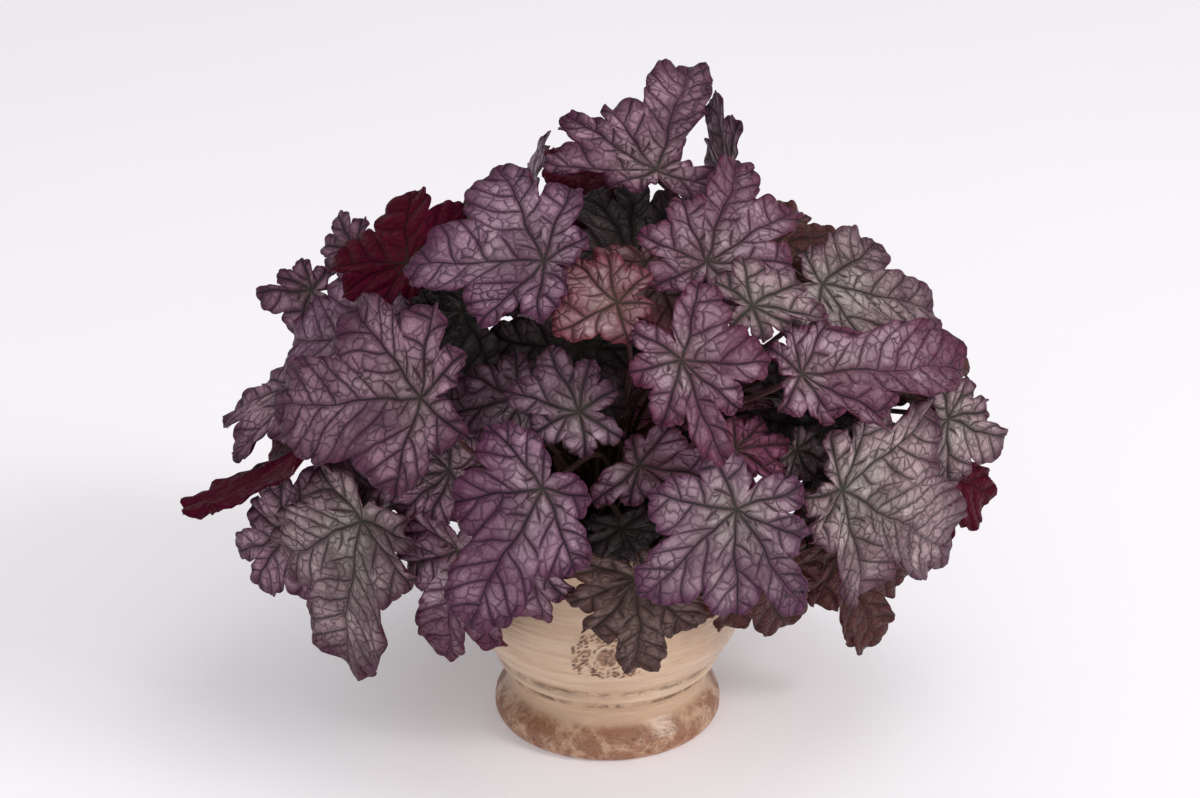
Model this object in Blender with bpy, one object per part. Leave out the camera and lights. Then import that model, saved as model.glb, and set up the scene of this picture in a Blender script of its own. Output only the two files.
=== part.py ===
"""Coral bells in a small footed pot: a mound of lobed leaves, each on its own stalk in the soil.

Metres, +Z up, origin in the middle of the pot's underside. The photographed side faces -Y.
"""

import math
import random

import bpy
import numpy as np
from mathutils import Vector
from mathutils.bvhtree import BVHTree
from mathutils.kdtree import KDTree

MM = 0.001

# The pot, from its underside up: (radius, height) in millimetres, rounded by the turning below.
FOOT_RADIUS = 60.0
WAIST_RADIUS = 51.5
BEAD_RADIUS = 59.0
BELLY_RADIUS = 72.0
RIM_RADIUS = 76.0
POT_HEIGHT = 122.0
WALL = 5.0
FLOOR_THICKNESS = 9.0
POT_SIDES = 32

# The soil, which fills the pot and is a little higher in the middle.
FIT_GAP = 0.3
SOIL_EDGE_HEIGHT = 108.0
SOIL_TOP_HEIGHT = 117.0
SOIL_RING_RADIUS = 44.0
SOIL_SIDES = 20
HOLE_DEPTH = 9.0
HOLE_SIDES = 5

# The leaves.
BLADE_THICKNESS = 0.9
STALK_RADIUS = 1.35
STALK_STEPS = 4
STALK_SIDES = 4
SMALL_BLADE = 62.0
LOBES_MERGE_WITHIN = math.radians(20)
BLADE_CLEARANCE = 1.3
PLACING_STEPS = (0, 3, -3, 6, -6, 9, 12, -9, 15, -12, 18, 21, -15, 24, 28, 32, -18, 36)
PLACING_TURNS = (0, 14, -14, 26, -26, 38, -38)
PLACING_SIZES = (1.0, 0.9, 0.8, 0.7)
PLACING_TRIALS = [(size, turn, step) for size in PLACING_SIZES for turn in PLACING_TURNS
                  for step in PLACING_STEPS]
STALK_CLEARANCE = 2.0
STALK_SPACING = 3.8
FIRST_STALK_DROP = 4.0
STALK_ROOM_LENGTH = 14.0
STALK_ROOM_RADIUS = 3.2
STALK_TRIALS = 260
WIDE_TRIALS = 90
ROUTING_ROUNDS = 7
STALK_SAMPLING = 3.5
MOST_BEND = 0.15

# The holes in the soil: each ring's radius, its count of holes, and how far its stalks rise straight up (mm).
SEAT_RINGS = ((6.0, 5, 30.0), (13.0, 11, 24.0), (20.5, 17, 17.0), (28.5, 25, 10.0))

# The photographer's eye, which the photographed leaves were placed from: where it stood (mm), how far it
# looked down, and its focal length and middle in pixels of the 1200 by 798 photo.
EYE = (-4.0, -1158.0, 694.0)
EYE_PITCH = math.radians(24.0)
FOCAL_PX = 2500.0
MIDDLE_PX = (600.0, 399.0)

# The shell that the leaf blades lie on: a flattened ball round the plant's axis (mm).
SHELL_MIDDLE_HEIGHT = 182.0
SHELL_RADIUS = 150.0
SHELL_HALF_HEIGHT = 124.0
LONGEST_LOBE = 122.0
NOTCH_PART = 0.72
STALK_NOTCH_PART = 0.36
LOBE_ROUNDNESS = math.radians(62)
PLEAT_DEPTH = 0.085
WAVE_DEPTH = 0.028

# The lobes that can't be seen: how far apart they stand, and the least length beside the main lobe's.
NEXT_LOBE = math.radians(56)
LAST_LOBE = math.radians(88)
WIDEST_GAP = math.radians(84)
NEXT_LOBE_PART = 0.78
LEAST_LOBE_PART = 0.42
BETWEEN_LOBES_PART = 0.85


def leaf(name, base, lobes, kind, layer=0, face=0.62, droop=0.10, shift=0.0, roll=0.0):
    """A photographed leaf: where its stalk meets the blade and where its lobes end, the main lobe first."""
    return dict(name=name, base_px=base, lobes_px=lobes, kind=kind, layer=layer, face=face,
                droop=droop, shift=shift, roll=math.radians(roll))


SEEN_LEAVES = (
    leaf("top", (656, 170),
         ((691, 57), (714, 97), (684, 158), (607, 105), (564, 113), (541, 165), (608, 184)), "mauve",
         droop=0.04),
    leaf("top_folded", (727, 176), ((712, 66),), "mauve", face=0.95, droop=0.0, roll=80),
    leaf("top_right", (706, 262), ((745, 147), (683, 195), (799, 202), (797, 258), (752, 308)), "pink"),
    leaf("top_right_back", (768, 250), ((842, 225), (808, 205), (829, 250)), "brown", layer=1),
    leaf("right_upper", (822, 284), ((950, 302), (882, 238), (802, 249), (893, 318)), "silver"),
    leaf("right_small", (752, 306), ((835, 313), (804, 277), (792, 325)), "silver", shift=12.0),
    leaf("salmon", (617, 303), ((552, 330), (568, 256), (605, 250), (650, 268), (655, 305)), "salmon"),
    leaf("red_shade", (648, 262), ((712, 300), (700, 265), (690, 335)), "salmon", layer=1),
    leaf("centre_right", (681, 360),
         ((728, 463), (740, 410), (773, 363), (705, 277), (632, 325), (662, 425)), "pink", shift=10.0),
    leaf("right_large", (801, 374), ((983, 362), (898, 322), (832, 318), (768, 345), (785, 415), (836, 422),
                                     (893, 418)), "pink"),
    leaf("right_silver", (842, 490), ((1001, 577), (948, 412), (833, 430), (802, 505), (815, 547), (875, 603),
                                      (945, 580)), "silver", droop=0.14),
    leaf("front_right", (736, 509), ((645, 604), (740, 621), (810, 617), (808, 545), (808, 487), (650, 498)),
         "silver_pink", shift=12.0),
    leaf("front_left", (543, 488), ((461, 632), (512, 606), (578, 575), (592, 500), (486, 424), (449, 505)),
         "lavender", shift=12.0),
    leaf("left_large", (421, 398), ((262, 405), (345, 302), (430, 301), (463, 352), (463, 438), (388, 497),
                                    (322, 440)), "mauve", shift=6.0),
    leaf("left_upper", (544, 261), ((401, 256), (497, 158), (568, 180), (588, 234), (537, 320), (478, 322)),
         "lavender", shift=6.0),
    leaf("burgundy_left", (407, 262), ((322, 262), (404, 186), (425, 193), (338, 287)), "burgundy"),
    leaf("left_back_small", (352, 252), ((335, 210), (362, 216), (322, 240)), "mauve", layer=2, shift=-20.0),
    leaf("left_tip_upper", (312, 290), ((250, 295), (280, 276)), "mauve", layer=1, face=0.8, roll=30,
         shift=-10.0),
    leaf("left_tip_middle", (368, 342), ((279, 335), (300, 303), (290, 352)), "lavender", layer=1),
    leaf("left_tip_lower", (300, 385), ((221, 405), (250, 368), (249, 418)), "mauve", layer=1, shift=-12.0),
    leaf("burgundy_curled", (318, 438), ((188, 515),), "burgundy", layer=1, face=0.85, roll=72,
         shift=8.0),
    leaf("left_low_back", (286, 532), ((232, 556), (246, 508), (250, 590), (272, 466), (338, 474)), "mauve",
         layer=1, shift=-26.0),
    leaf("left_silver", (362, 520), ((325, 681), (276, 562), (312, 467), (368, 643), (409, 592), (413, 542)),
         "silver", shift=-14.0, droop=0.12),
    leaf("left_dusky", (450, 470), ((327, 500), (338, 452), (340, 534), (395, 520), (430, 523)), "mauve",
         layer=1),
    leaf("front_magenta", (458, 550), ((441, 667), (402, 570), (416, 620), (493, 656), (516, 615)), "pink",
         layer=1),
    leaf("front_small", (530, 560), ((540, 628), (568, 602), (512, 608)), "pink", layer=1),
    leaf("front_low", (637, 580), ((641, 685), (568, 605), (592, 640), (683, 668), (695, 632)),
         "brown_silver", layer=1, shift=22.0),
    leaf("front_dark", (622, 528), ((620, 590), (586, 548), (640, 562)), "shade", layer=2),
    leaf("front_right_back", (752, 575), ((793, 633), (722, 633), (697, 615), (814, 620)), "brown", layer=1),
    leaf("right_brown", (838, 555), ((888, 654), (818, 610), (855, 646), (912, 626), (914, 583), (800, 505)),
         "brown", layer=1),
    leaf("burgundy_right", (925, 455), ((1005, 505), (966, 442), (1000, 478), (985, 516)), "burgundy",
         layer=1),
    leaf("right_pale", (948, 418), ((1013, 443), (985, 408)), "silver", layer=1),
    leaf("burgundy_right_upper", (890, 388), ((966, 403),), "burgundy", layer=2, face=0.9, roll=68),
    leaf("right_back_brown", (900, 352), ((971, 346), (910, 313), (945, 329)), "brown", layer=2),
    leaf("centre_dusky", (579, 412), ((503, 392), (548, 345), (590, 358), (618, 385), (622, 440), (585, 458),
                                      (530, 432)), "dusky"),
    leaf("centre_left_grey", (522, 400), ((440, 412), (464, 376), (480, 420)), "dusky", layer=1),
    leaf("centre_ruffled", (639, 465),
         ((740, 488), (672, 422), (632, 434), (592, 506), (628, 507), (672, 488)), "pink", layer=1),
    leaf("centre_red", (735, 450), ((792, 445), (765, 419), (785, 478), (752, 481)), "magenta", layer=1),
    leaf("right_silver_small", (797, 450), ((834, 464), (816, 433), (815, 478)), "silver", layer=1),
    leaf("upper_shade", (635, 258), ((628, 168), (588, 180), (566, 246), (684, 184), (696, 240)), "shade",
         layer=1),
    leaf("left_upper_back", (468, 245), ((437, 203), (463, 197), (482, 182)), "shade", layer=2),
    leaf("top_left_back", (528, 190), ((543, 127),), "dusky", layer=2, face=0.9, roll=66),
    leaf("burgundy_top", (602, 232), ((572, 132), (542, 150), (612, 140), (634, 186), (562, 226)), "burgundy",
         layer=1, shift=-24.0),
    leaf("left_inner_grey", (462, 312), ((383, 303), (400, 272), (425, 360), (492, 372), (520, 305)), "shade",
         layer=2),
    leaf("deep_middle", (580, 350), ((482, 338), (545, 290), (640, 285), (690, 345), (620, 420), (535, 425)),
         "shade", layer=1, shift=-40.0),
    leaf("deep_right", (830, 425),
         ((905, 455), (885, 375), (760, 368), (752, 420), (775, 475), (850, 500)), "shade",
         layer=1, shift=-30.0),
    leaf("right_inner", (880, 358), ((850, 424), (802, 428), (918, 420)), "brown", layer=2),
)

# The leaves round the back, unseen in the photo: name, bearing in degrees from +X, height, reach and length.
BACK_LEAVES = (
    ("back_low_1", 12.0, 128.0, 110.0, 74.0),
    ("back_low_2", 38.0, 140.0, 118.0, 92.0),
    ("back_low_3", 68.0, 132.0, 116.0, 96.0),
    ("back_low_4", 98.0, 140.0, 120.0, 98.0),
    ("back_low_5", 128.0, 130.0, 116.0, 94.0),
    ("back_low_6", 158.0, 138.0, 114.0, 86.0),
    ("back_high_1", 30.0, 205.0, 88.0, 82.0),
    ("back_high_2", 68.0, 214.0, 94.0, 82.0),
    ("back_high_3", 104.0, 206.0, 92.0, 90.0),
    ("back_high_4", 146.0, 204.0, 88.0, 84.0),
    ("back_crest", 84.0, 250.0, 42.0, 76.0),
)

# Kinds of leaf colour: (upper side, roughness).
KINDS = {
    "mauve": ((0.20, 0.13, 0.17, 1.0), 0.5),
    "lavender": ((0.22, 0.13, 0.19, 1.0), 0.48),
    "pink": ((0.24, 0.12, 0.16, 1.0), 0.5),
    "magenta": ((0.15, 0.04, 0.07, 1.0), 0.5),
    "salmon": ((0.27, 0.12, 0.12, 1.0), 0.55),
    "silver": ((0.25, 0.23, 0.21, 1.0), 0.5),
    "silver_pink": ((0.25, 0.19, 0.22, 1.0), 0.5),
    "brown_silver": ((0.18, 0.14, 0.11, 1.0), 0.55),
    "brown": ((0.12, 0.05, 0.04, 1.0), 0.55),
    "dusky": ((0.16, 0.12, 0.14, 1.0), 0.52),
    "shade": ((0.10, 0.09, 0.08, 1.0), 0.6),
    "burgundy": ((0.10, 0.01, 0.03, 1.0), 0.42),
}


def clear_scene():
    for obj in list(bpy.data.objects):
        bpy.data.objects.remove(obj, do_unlink=True)


def make_material(name, colour, roughness, metallic=0.0):
    material = bpy.data.materials.new(name)
    material.use_nodes = True
    shader = material.node_tree.nodes["Principled BSDF"]
    shader.inputs["Base Color"].default_value = colour
    shader.inputs["Roughness"].default_value = roughness
    shader.inputs["Metallic"].default_value = metallic
    return material


def make_object(name, points_mm, faces, material, smooth=True):
    mesh = bpy.data.meshes.new(name)
    mesh.from_pydata([tuple(c * MM for c in p) for p in points_mm], [], faces)
    if smooth:
        mesh.shade_smooth()
    mesh.materials.append(material)
    obj = bpy.data.objects.new(name, mesh)
    bpy.context.scene.collection.objects.link(obj)
    return obj


def turned_solid(profile, sides):
    """Points and faces of a closed profile turned round the axis, which its first and last points lie on."""
    points = [(0.0, 0.0, profile[0][1])]
    inner = profile[1:-1]
    for radius, height in inner:
        for k in range(sides):
            angle = 2 * math.pi * k / sides
            points.append((radius * math.cos(angle), radius * math.sin(angle), height))
    points.append((0.0, 0.0, profile[-1][1]))
    last = len(points) - 1
    faces = []
    for k in range(sides):
        following = (k + 1) % sides
        faces.append((0, 1 + following, 1 + k))
        for row in range(len(inner) - 1):
            low = 1 + row * sides
            high = low + sides
            faces.append((low + k, low + following, high + following, high + k))
        top = 1 + (len(inner) - 1) * sides
        faces.append((top + k, top + following, last))
    return points, faces


def pot_profile():
    outer = [
        (0.0, 0.0),
        (FOOT_RADIUS - 3.5, 0.0),
        (FOOT_RADIUS - 0.4, 3.0),
        (FOOT_RADIUS - 0.6, 10.0),
        (FOOT_RADIUS - 4.0, 14.5),
        (WAIST_RADIUS, 22.0),
        (BEAD_RADIUS - 2.8, 32.5),
        (BEAD_RADIUS, 35.5),
        (BEAD_RADIUS - 1.4, 38.2),
        (BELLY_RADIUS - 8.0, 46.0),
        (BELLY_RADIUS - 2.2, 58.0),
        (BELLY_RADIUS, 76.0),
        (BELLY_RADIUS - 1.6, 108.0),
        (RIM_RADIUS - 0.6, 115.0),
        (RIM_RADIUS - 1.0, POT_HEIGHT),
    ]
    inside = [
        (RIM_RADIUS - 2.0 - WALL, POT_HEIGHT),
        (BELLY_RADIUS - 1.6 - WALL, 112.0),
        (BELLY_RADIUS - WALL, 76.0),
        (BELLY_RADIUS - 4.0 - WALL, 58.0),
        (WAIST_RADIUS - WALL, 24.0),
        (WAIST_RADIUS - WALL - 4.0, FLOOR_THICKNESS),
        (0.0, FLOOR_THICKNESS),
    ]
    return outer + inside


def soil_profile():
    wall = [
        (0.0, FLOOR_THICKNESS + FIT_GAP),
        (WAIST_RADIUS - WALL - 4.0 - FIT_GAP, FLOOR_THICKNESS + FIT_GAP),
        (WAIST_RADIUS - WALL - FIT_GAP, 24.0 + FIT_GAP),
        (BELLY_RADIUS - 4.0 - WALL - FIT_GAP, 58.0 + FIT_GAP),
        (BELLY_RADIUS - WALL - FIT_GAP, 76.0 + FIT_GAP),
        (BELLY_RADIUS - 1.6 - WALL - FIT_GAP, SOIL_EDGE_HEIGHT),
        (SOIL_RING_RADIUS, soil_height(SOIL_RING_RADIUS)),
        (0.0, SOIL_TOP_HEIGHT),
    ]
    return [(radius * inside_shrink(radius), height) for radius, height in wall]


def inside_shrink(radius):
    """The soil has fewer sides than the pot, so its corners stay where the pot's flat sides are."""
    return math.cos(math.pi / POT_SIDES) if radius > 0 else 1.0


def soil_height(radius):
    return SOIL_TOP_HEIGHT - (SOIL_TOP_HEIGHT - SOIL_EDGE_HEIGHT) * (radius / (BELLY_RADIUS - WALL)) ** 2


def sight_direction(pixel):
    """The way from the eye through a pixel."""
    forward = np.array([0.0, math.cos(EYE_PITCH), -math.sin(EYE_PITCH)])
    up = np.array([0.0, math.sin(EYE_PITCH), math.cos(EYE_PITCH)])
    across = np.array([1.0, 0.0, 0.0])
    way = forward + across * (pixel[0] - MIDDLE_PX[0]) / FOCAL_PX + up * (MIDDLE_PX[1] - pixel[1]) / FOCAL_PX
    return way / np.linalg.norm(way)


def shell_point(pixel, scale):
    """Where the line of sight meets the shell, or passes nearest to it, and which way is outwards there."""
    eye = np.array(EYE)
    way = sight_direction(pixel)
    sizes = np.array([SHELL_RADIUS, SHELL_RADIUS, SHELL_HALF_HEIGHT]) * scale
    start = (eye - np.array([0.0, 0.0, SHELL_MIDDLE_HEIGHT])) / sizes
    step = way / sizes
    a = step @ step
    b = start @ step
    inside = b * b - a * (start @ start - 1.0)
    distance = (-b - math.sqrt(max(inside, 0.0))) / a
    point = eye + way * distance
    outward = (point - np.array([0.0, 0.0, SHELL_MIDDLE_HEIGHT])) / sizes ** 2
    return point, outward / np.linalg.norm(outward)


def facing(normal, towards, least):
    """The normal, turned towards the eye until it faces it by at least this much."""
    if normal @ towards >= least:
        return normal
    aside = normal - towards * (normal @ towards)
    aside /= np.linalg.norm(aside)
    return towards * least + aside * math.sqrt(1.0 - least * least)


def fill_lobes(lobes):
    """Adds the lobes that can't be seen, so that lobes follow one another round to the stalk's notch."""
    main_length = lobes[0][1]
    kept = []
    for lobe in lobes:
        if all(abs(lobe[0] - other[0]) > LOBES_MERGE_WITHIN for other in kept):
            kept.append(lobe)
    lobes = sorted(kept)
    least = LEAST_LOBE_PART * main_length
    while lobes[-1][0] < LAST_LOBE:
        lobes.append((lobes[-1][0] + NEXT_LOBE, max(lobes[-1][1] * NEXT_LOBE_PART, least)))
    while lobes[0][0] > -LAST_LOBE:
        lobes.insert(0, (lobes[0][0] - NEXT_LOBE, max(lobes[0][1] * NEXT_LOBE_PART, least)))
    filled = [lobes[0]]
    for angle, length in lobes[1:]:
        before_angle, before_length = filled[-1]
        gap = angle - before_angle
        extra = int(gap // WIDEST_GAP)
        for k in range(1, extra + 1):
            part = k / (extra + 1)
            between = BETWEEN_LOBES_PART * (before_length * (1 - part) + length * part)
            filled.append((before_angle + gap * part, between))
        filled.append((angle, length))
    return filled


def seen_blade(entry):
    """A photographed leaf's blade: its place, a frame on its plane, and each lobe's angle and length."""
    eye = np.array(EYE)
    scale = (1.0, 0.86, 0.72)[entry["layer"]]
    towards = -sight_direction(entry["base_px"])
    point, outward = shell_point(entry["base_px"], scale)
    point = point + towards * entry["shift"]
    normal = facing(outward, towards, entry["face"])
    ends = []
    for pixel in entry["lobes_px"]:
        way = sight_direction(pixel)
        distance = ((point - eye) @ normal) / (way @ normal)
        ends.append(eye + way * distance - point)
    blade = blade_record(entry, point, normal, ends)
    roll = entry["roll"]
    blade["normal"] = normal * math.cos(roll) + blade["across"] * math.sin(roll)
    blade["across"] = np.cross(blade["normal"], blade["along"])
    return blade


def back_blade(entry):
    """The blade of a leaf round the back: it faces outwards and up, and its tip hangs outwards."""
    name, bearing, height, reach, length = entry
    rng = random.Random(name)
    angle = math.radians(bearing)
    radial = np.array([math.cos(angle), math.sin(angle), 0.0])
    point = radial * reach + np.array([0.0, 0.0, height])
    lift = math.radians(24.0 + 42.0 * (height - 125.0) / 125.0 + rng.uniform(-5, 5))
    normal = radial * math.cos(lift) + np.array([0.0, 0.0, math.sin(lift)])
    down = radial * math.sin(lift) - np.array([0.0, 0.0, math.cos(lift)])
    side = np.cross(normal, down)
    swing = math.radians(rng.uniform(-16, 16))
    ends = []
    for turn, part in ((0, 1.0), (-52, 0.84), (52, 0.82), (-106, 0.64), (106, 0.66)):
        heading = swing + math.radians(turn + rng.uniform(-5, 5))
        ends.append((down * math.cos(heading) + side * math.sin(heading)) * length * part)
    kind = rng.choice(("mauve", "silver", "pink", "lavender", "dusky", "brown"))
    settings = dict(name=name, kind=kind, droop=0.12, layer=3)
    return blade_record(settings, point, normal, ends)


def blade_record(entry, point, normal, ends):
    along = ends[0] / np.linalg.norm(ends[0])
    across = np.cross(normal, along)
    lobes = []
    for end in ends:
        length = min(float(np.linalg.norm(end)), LONGEST_LOBE)
        lobes.append((math.atan2(float(end @ across), float(end @ along)), length))
    rng = random.Random("waves of " + entry["name"])
    waves = [(k, rng.uniform(0.4, 1.0) / math.sqrt(k), rng.uniform(0, 2 * math.pi)) for k in (2, 3, 5, 7)]
    return dict(name=entry["name"], kind=entry["kind"], layer=entry["layer"], droop=entry["droop"],
                base=point, normal=normal, along=along, across=across, lobes=fill_lobes(lobes),
                length=lobes[0][1], waves=waves)


def lobe_edges(lobes):
    """Each lobe's middle, the notches beside it, and the blade's radius at its tip and at the notches."""
    count = len(lobes)
    result = []
    for k in range(count):
        angle, length = lobes[k]
        before = lobes[k - 1] if k else (lobes[-1][0] - 2 * math.pi, lobes[-1][1])
        after = lobes[k + 1] if k < count - 1 else (lobes[0][0] + 2 * math.pi, lobes[0][1])
        low_notch = NOTCH_PART * math.sqrt(length * before[1])
        high_notch = NOTCH_PART * math.sqrt(length * after[1])
        if k == 0:
            low_notch = STALK_NOTCH_PART * min(length, before[1])
        if k == count - 1:
            high_notch = STALK_NOTCH_PART * min(length, after[1])
        result.append(((before[0] + angle) / 2, angle, (angle + after[0]) / 2, length, low_notch, high_notch))
    return result


def outline_at(edge, u):
    """The blade's angle and radius at u, from -1 at a lobe's lower notch through 0 at its tip to 1."""
    low, middle, high, length, low_notch, high_notch = edge
    angle = middle + u * ((high - middle) if u > 0 else (middle - low))
    notch = high_notch if u > 0 else low_notch
    half_width = (high - middle) if u > 0 else (middle - low)
    roundness = min(2.6, max(1.15, LOBE_ROUNDNESS / half_width))
    return angle, length - (length - notch) * abs(u) ** roundness


def blade_height(blade, u, part, angle, radius):
    """How far the blade lies off its plane: pleats along the lobes, a droop, and waves at the edge."""
    length = blade["length"]
    reach = radius / length
    pleat = PLEAT_DEPTH * radius * (abs(u) ** 1.5) * min(1.0, part * 1.4)
    droop = -blade["droop"] * length * reach ** 2
    wave = sum(size * math.sin(k * angle + start) for k, size, start in blade["waves"])
    return pleat + droop + WAVE_DEPTH * length * wave * min(reach, 1.2) ** 2.5


def blade_point(blade, edge, u, part, tooth=0.0):
    """A point of the blade's middle surface, part of the way out from the stalk to the edge."""
    angle, radius = outline_at(edge, u)
    radius = radius * (1.0 - tooth) * part
    height = blade_height(blade, u, part, angle, radius)
    flat = blade["along"] * (radius * math.cos(angle)) + blade["across"] * (radius * math.sin(angle))
    return blade["base"] + flat + blade["normal"] * height


LARGE_EDGE_STEPS = ((-1.0, 0.0), (-0.68, 0.0), (-0.34, 0.06), (0.0, 0.0), (0.34, 0.06), (0.68, 0.0))
SMALL_EDGE_STEPS = ((-1.0, 0.0), (-0.55, 0.0), (0.0, 0.0), (0.55, 0.0))
MIDDLE_STEPS = (-1.0, 0.0)
EDGE_PART, MIDDLE_PART, INNER_PART = 1.0, 0.56, 0.2


def edge_steps(blade):
    """A large blade's lobes have three teeth each at their edge, and a small one's have one."""
    return LARGE_EDGE_STEPS if blade["length"] > SMALL_BLADE and blade["layer"] < 2 else SMALL_EDGE_STEPS


def blade_rings(blade):
    """The edge ring, the middle ring and the inner ring of the blade's middle surface."""
    edges = lobe_edges(blade["lobes"])
    edge_ring = [blade_point(blade, e, u, EDGE_PART, tooth) for e in edges for u, tooth in edge_steps(blade)]
    middle_ring = [blade_point(blade, e, u, MIDDLE_PART) for e in edges for u in MIDDLE_STEPS]
    inner_ring = [blade_point(blade, e, 0.0, INNER_PART) for e in edges]
    return edge_ring, middle_ring, inner_ring


def blade_faces(lobe_count, steps):
    """The upper side's triangles, over the edge, middle and inner rings and the middle point."""
    middle_start = steps * lobe_count
    inner_start = middle_start + 2 * lobe_count
    centre = inner_start + lobe_count
    faces = []
    for k in range(lobe_count):
        following = (k + 1) % lobe_count
        e = [steps * k + j for j in range(steps)] + [steps * following]
        m = [middle_start + 2 * k, middle_start + 2 * k + 1, middle_start + 2 * following]
        i, i_next = inner_start + k, inner_start + following
        faces += [(m[0], e[0], e[1]), (m[0], e[1], m[1])]
        faces += [(m[1], e[j], e[j + 1]) for j in range(1, steps - 1)]
        faces += [(m[1], e[-2], m[2]), (m[2], e[-2], e[-1])]
        faces += [(i, m[1], m[2]), (i, m[2], i_next), (i_next, m[2], m[2] + 1)]
        faces.append((centre, i, i_next))
    return faces


def blade_mesh(blade, thickness):
    """The points of the blade's upper side and underside, and the upper side's faces."""
    edge_ring, middle_ring, inner_ring = blade_rings(blade)
    surface = np.array(edge_ring + middle_ring + inner_ring + [blade["base"]])
    top_faces = blade_faces(len(blade["lobes"]), len(edge_steps(blade)))
    normals = surface_normals(surface, top_faces)
    top = surface + normals * (thickness / 2)
    bottom = surface - normals * (thickness / 2)
    return top, bottom, top_faces


def surface_normals(points, faces):
    normals = np.zeros_like(points)
    for a, b, c in faces:
        normal = np.cross(points[b] - points[a], points[c] - points[a])
        for k in (a, b, c):
            normals[k] += normal
    return normals / np.linalg.norm(normals, axis=1)[:, None]


def rim_faces(blade, offset):
    count = len(blade["lobes"]) * len(edge_steps(blade))
    faces = []
    for k in range(count):
        following = (k + 1) % count
        faces.append((k, k + offset, following))
        faces.append((following, k + offset, following + offset))
    return faces


def closed_blade(blade, thickness):
    top, bottom, top_faces = blade_mesh(blade, thickness)
    offset = len(top)
    faces = list(top_faces)
    faces += [(c + offset, b + offset, a + offset) for a, b, c in top_faces]
    faces += rim_faces(blade, offset)
    return np.vstack([top, bottom]), faces


def tree_of(points, faces):
    return BVHTree.FromPolygons([tuple(p) for p in points], faces)


def blade_with_room(blade):
    """The blade with some room round it and a short thick rod where its stalk starts, for placing it by."""
    points, faces = closed_blade(blade, BLADE_CLEARANCE + BLADE_THICKNESS)
    under = -blade["normal"]
    onward = under * 0.8 - blade["along"] * 0.35 + np.array([0.0, 0.0, -0.35])
    onward = onward / np.linalg.norm(onward)
    rod = [blade["base"] + under * 2.0, blade["base"] + under * FIRST_STALK_DROP]
    rod.append(rod[1] + onward * STALK_ROOM_LENGTH)
    first = len(points)
    corners = []
    for middle in rod:
        corners += [middle + side * STALK_ROOM_RADIUS for side in
                    (blade["along"], blade["across"], -blade["along"], -blade["across"])]
    for row in range(len(rod) - 1):
        low = first + 4 * row
        faces += [(low + k, low + (k + 1) % 4, low + 4 + (k + 1) % 4, low + 4 + k) for k in range(4)]
    return np.vstack([points, corners]), faces


def blade_ways(blade):
    """The way in which a blade may be moved: along its line of sight or, round the back, towards the axis."""
    if blade["layer"] == 3:
        radial = np.array([blade["base"][0], blade["base"][1], 0.0])
        return -radial / np.linalg.norm(radial)
    away = blade["base"] - np.array(EYE)
    return away / np.linalg.norm(away)


def place_blades(blades, obstacles):
    """Puts the blades in place, front ones first, and moves or turns one that meets another until it's clear."""
    eye = np.array(EYE)
    placed = []
    order = sorted(blades, key=lambda b: (b["layer"], float(np.linalg.norm(b["base"] - eye))))
    for blade in order:
        start, normal, way = blade["base"].copy(), blade["normal"].copy(), blade_ways(blade)
        lobes, length = blade["lobes"], blade["length"]
        fewest = None
        for size, turn, step in PLACING_TRIALS:
            blade["lobes"] = [(angle, reach * size) for angle, reach in lobes]
            blade["length"] = length * size
            blade["base"] = start + way * float(step)
            lean = math.radians(turn)
            blade["normal"] = normal * math.cos(lean) + np.cross(blade["along"], normal) * math.sin(lean)
            blade["across"] = np.cross(blade["normal"], blade["along"])
            tree = tree_of(*blade_with_room(blade))
            meetings = sum(len(tree.overlap(other)) for other in placed + obstacles)
            if fewest is None or meetings < fewest:
                fewest = meetings
                best = {key: blade[key] for key in ("base", "normal", "across", "lobes", "length")}
                best_tree = tree
                blade["moved"] = (meetings, size, turn, step)
            if meetings == 0:
                break
        blade.update(best)
        placed.append(best_tree)
    return order


def seats():
    """Where stalks stand in the soil and where their straight rise ends: rings of holes, innermost first."""
    result = []
    for radius, count, rise in SEAT_RINGS:
        for k in range(count):
            angle = 2 * math.pi * k / count
            seat = np.array([radius * math.cos(angle), radius * math.sin(angle), soil_height(radius)])
            result.append((seat, seat + np.array([0.0, 0.0, rise])))
    return result


def bearing(place):
    return math.atan2(float(place[1]), float(place[0]))


def share_seats(blades):
    """Gives the highest leaves the innermost seats, going round each ring in the same order as its leaves."""
    places = seats()
    by_height = sorted(blades, key=lambda b: -float(b["base"][2]))
    start = 0
    for _, count, _ in SEAT_RINGS:
        group = sorted(by_height[start:start + count], key=lambda b: bearing(b["base"]))
        ring = sorted(places[start:start + count], key=lambda place: bearing(place[0]))
        start += count
        shifts = range(len(ring))
        best = min(shifts, key=lambda shift: ring_strain(group, ring, shift))
        for k, blade in enumerate(group):
            blade["seat"], blade["riser"] = ring[ring_place(k, len(group), len(ring), best)]


def ring_place(k, leaf_count, seat_count, shift):
    return (k * seat_count // max(1, leaf_count) + shift) % seat_count


def ring_strain(group, ring, shift):
    """How far the leaves' bearings are from their seats', in all."""
    total = 0.0
    for k, blade in enumerate(group):
        seat = ring[ring_place(k, len(group), len(ring), shift)][0]
        total += math.remainder(bearing(blade["base"]) - bearing(seat), 2 * math.pi) ** 2
    return total


def curve_points(ends, count):
    """Points along a cubic curve from its four control points."""
    a, b, c, d = ends
    result = []
    for k in range(count + 1):
        t = k / count
        s = 1.0 - t
        result.append(a * s ** 3 + b * 3 * s * s * t + c * 3 * s * t * t + d * t ** 3)
    return result


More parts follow.
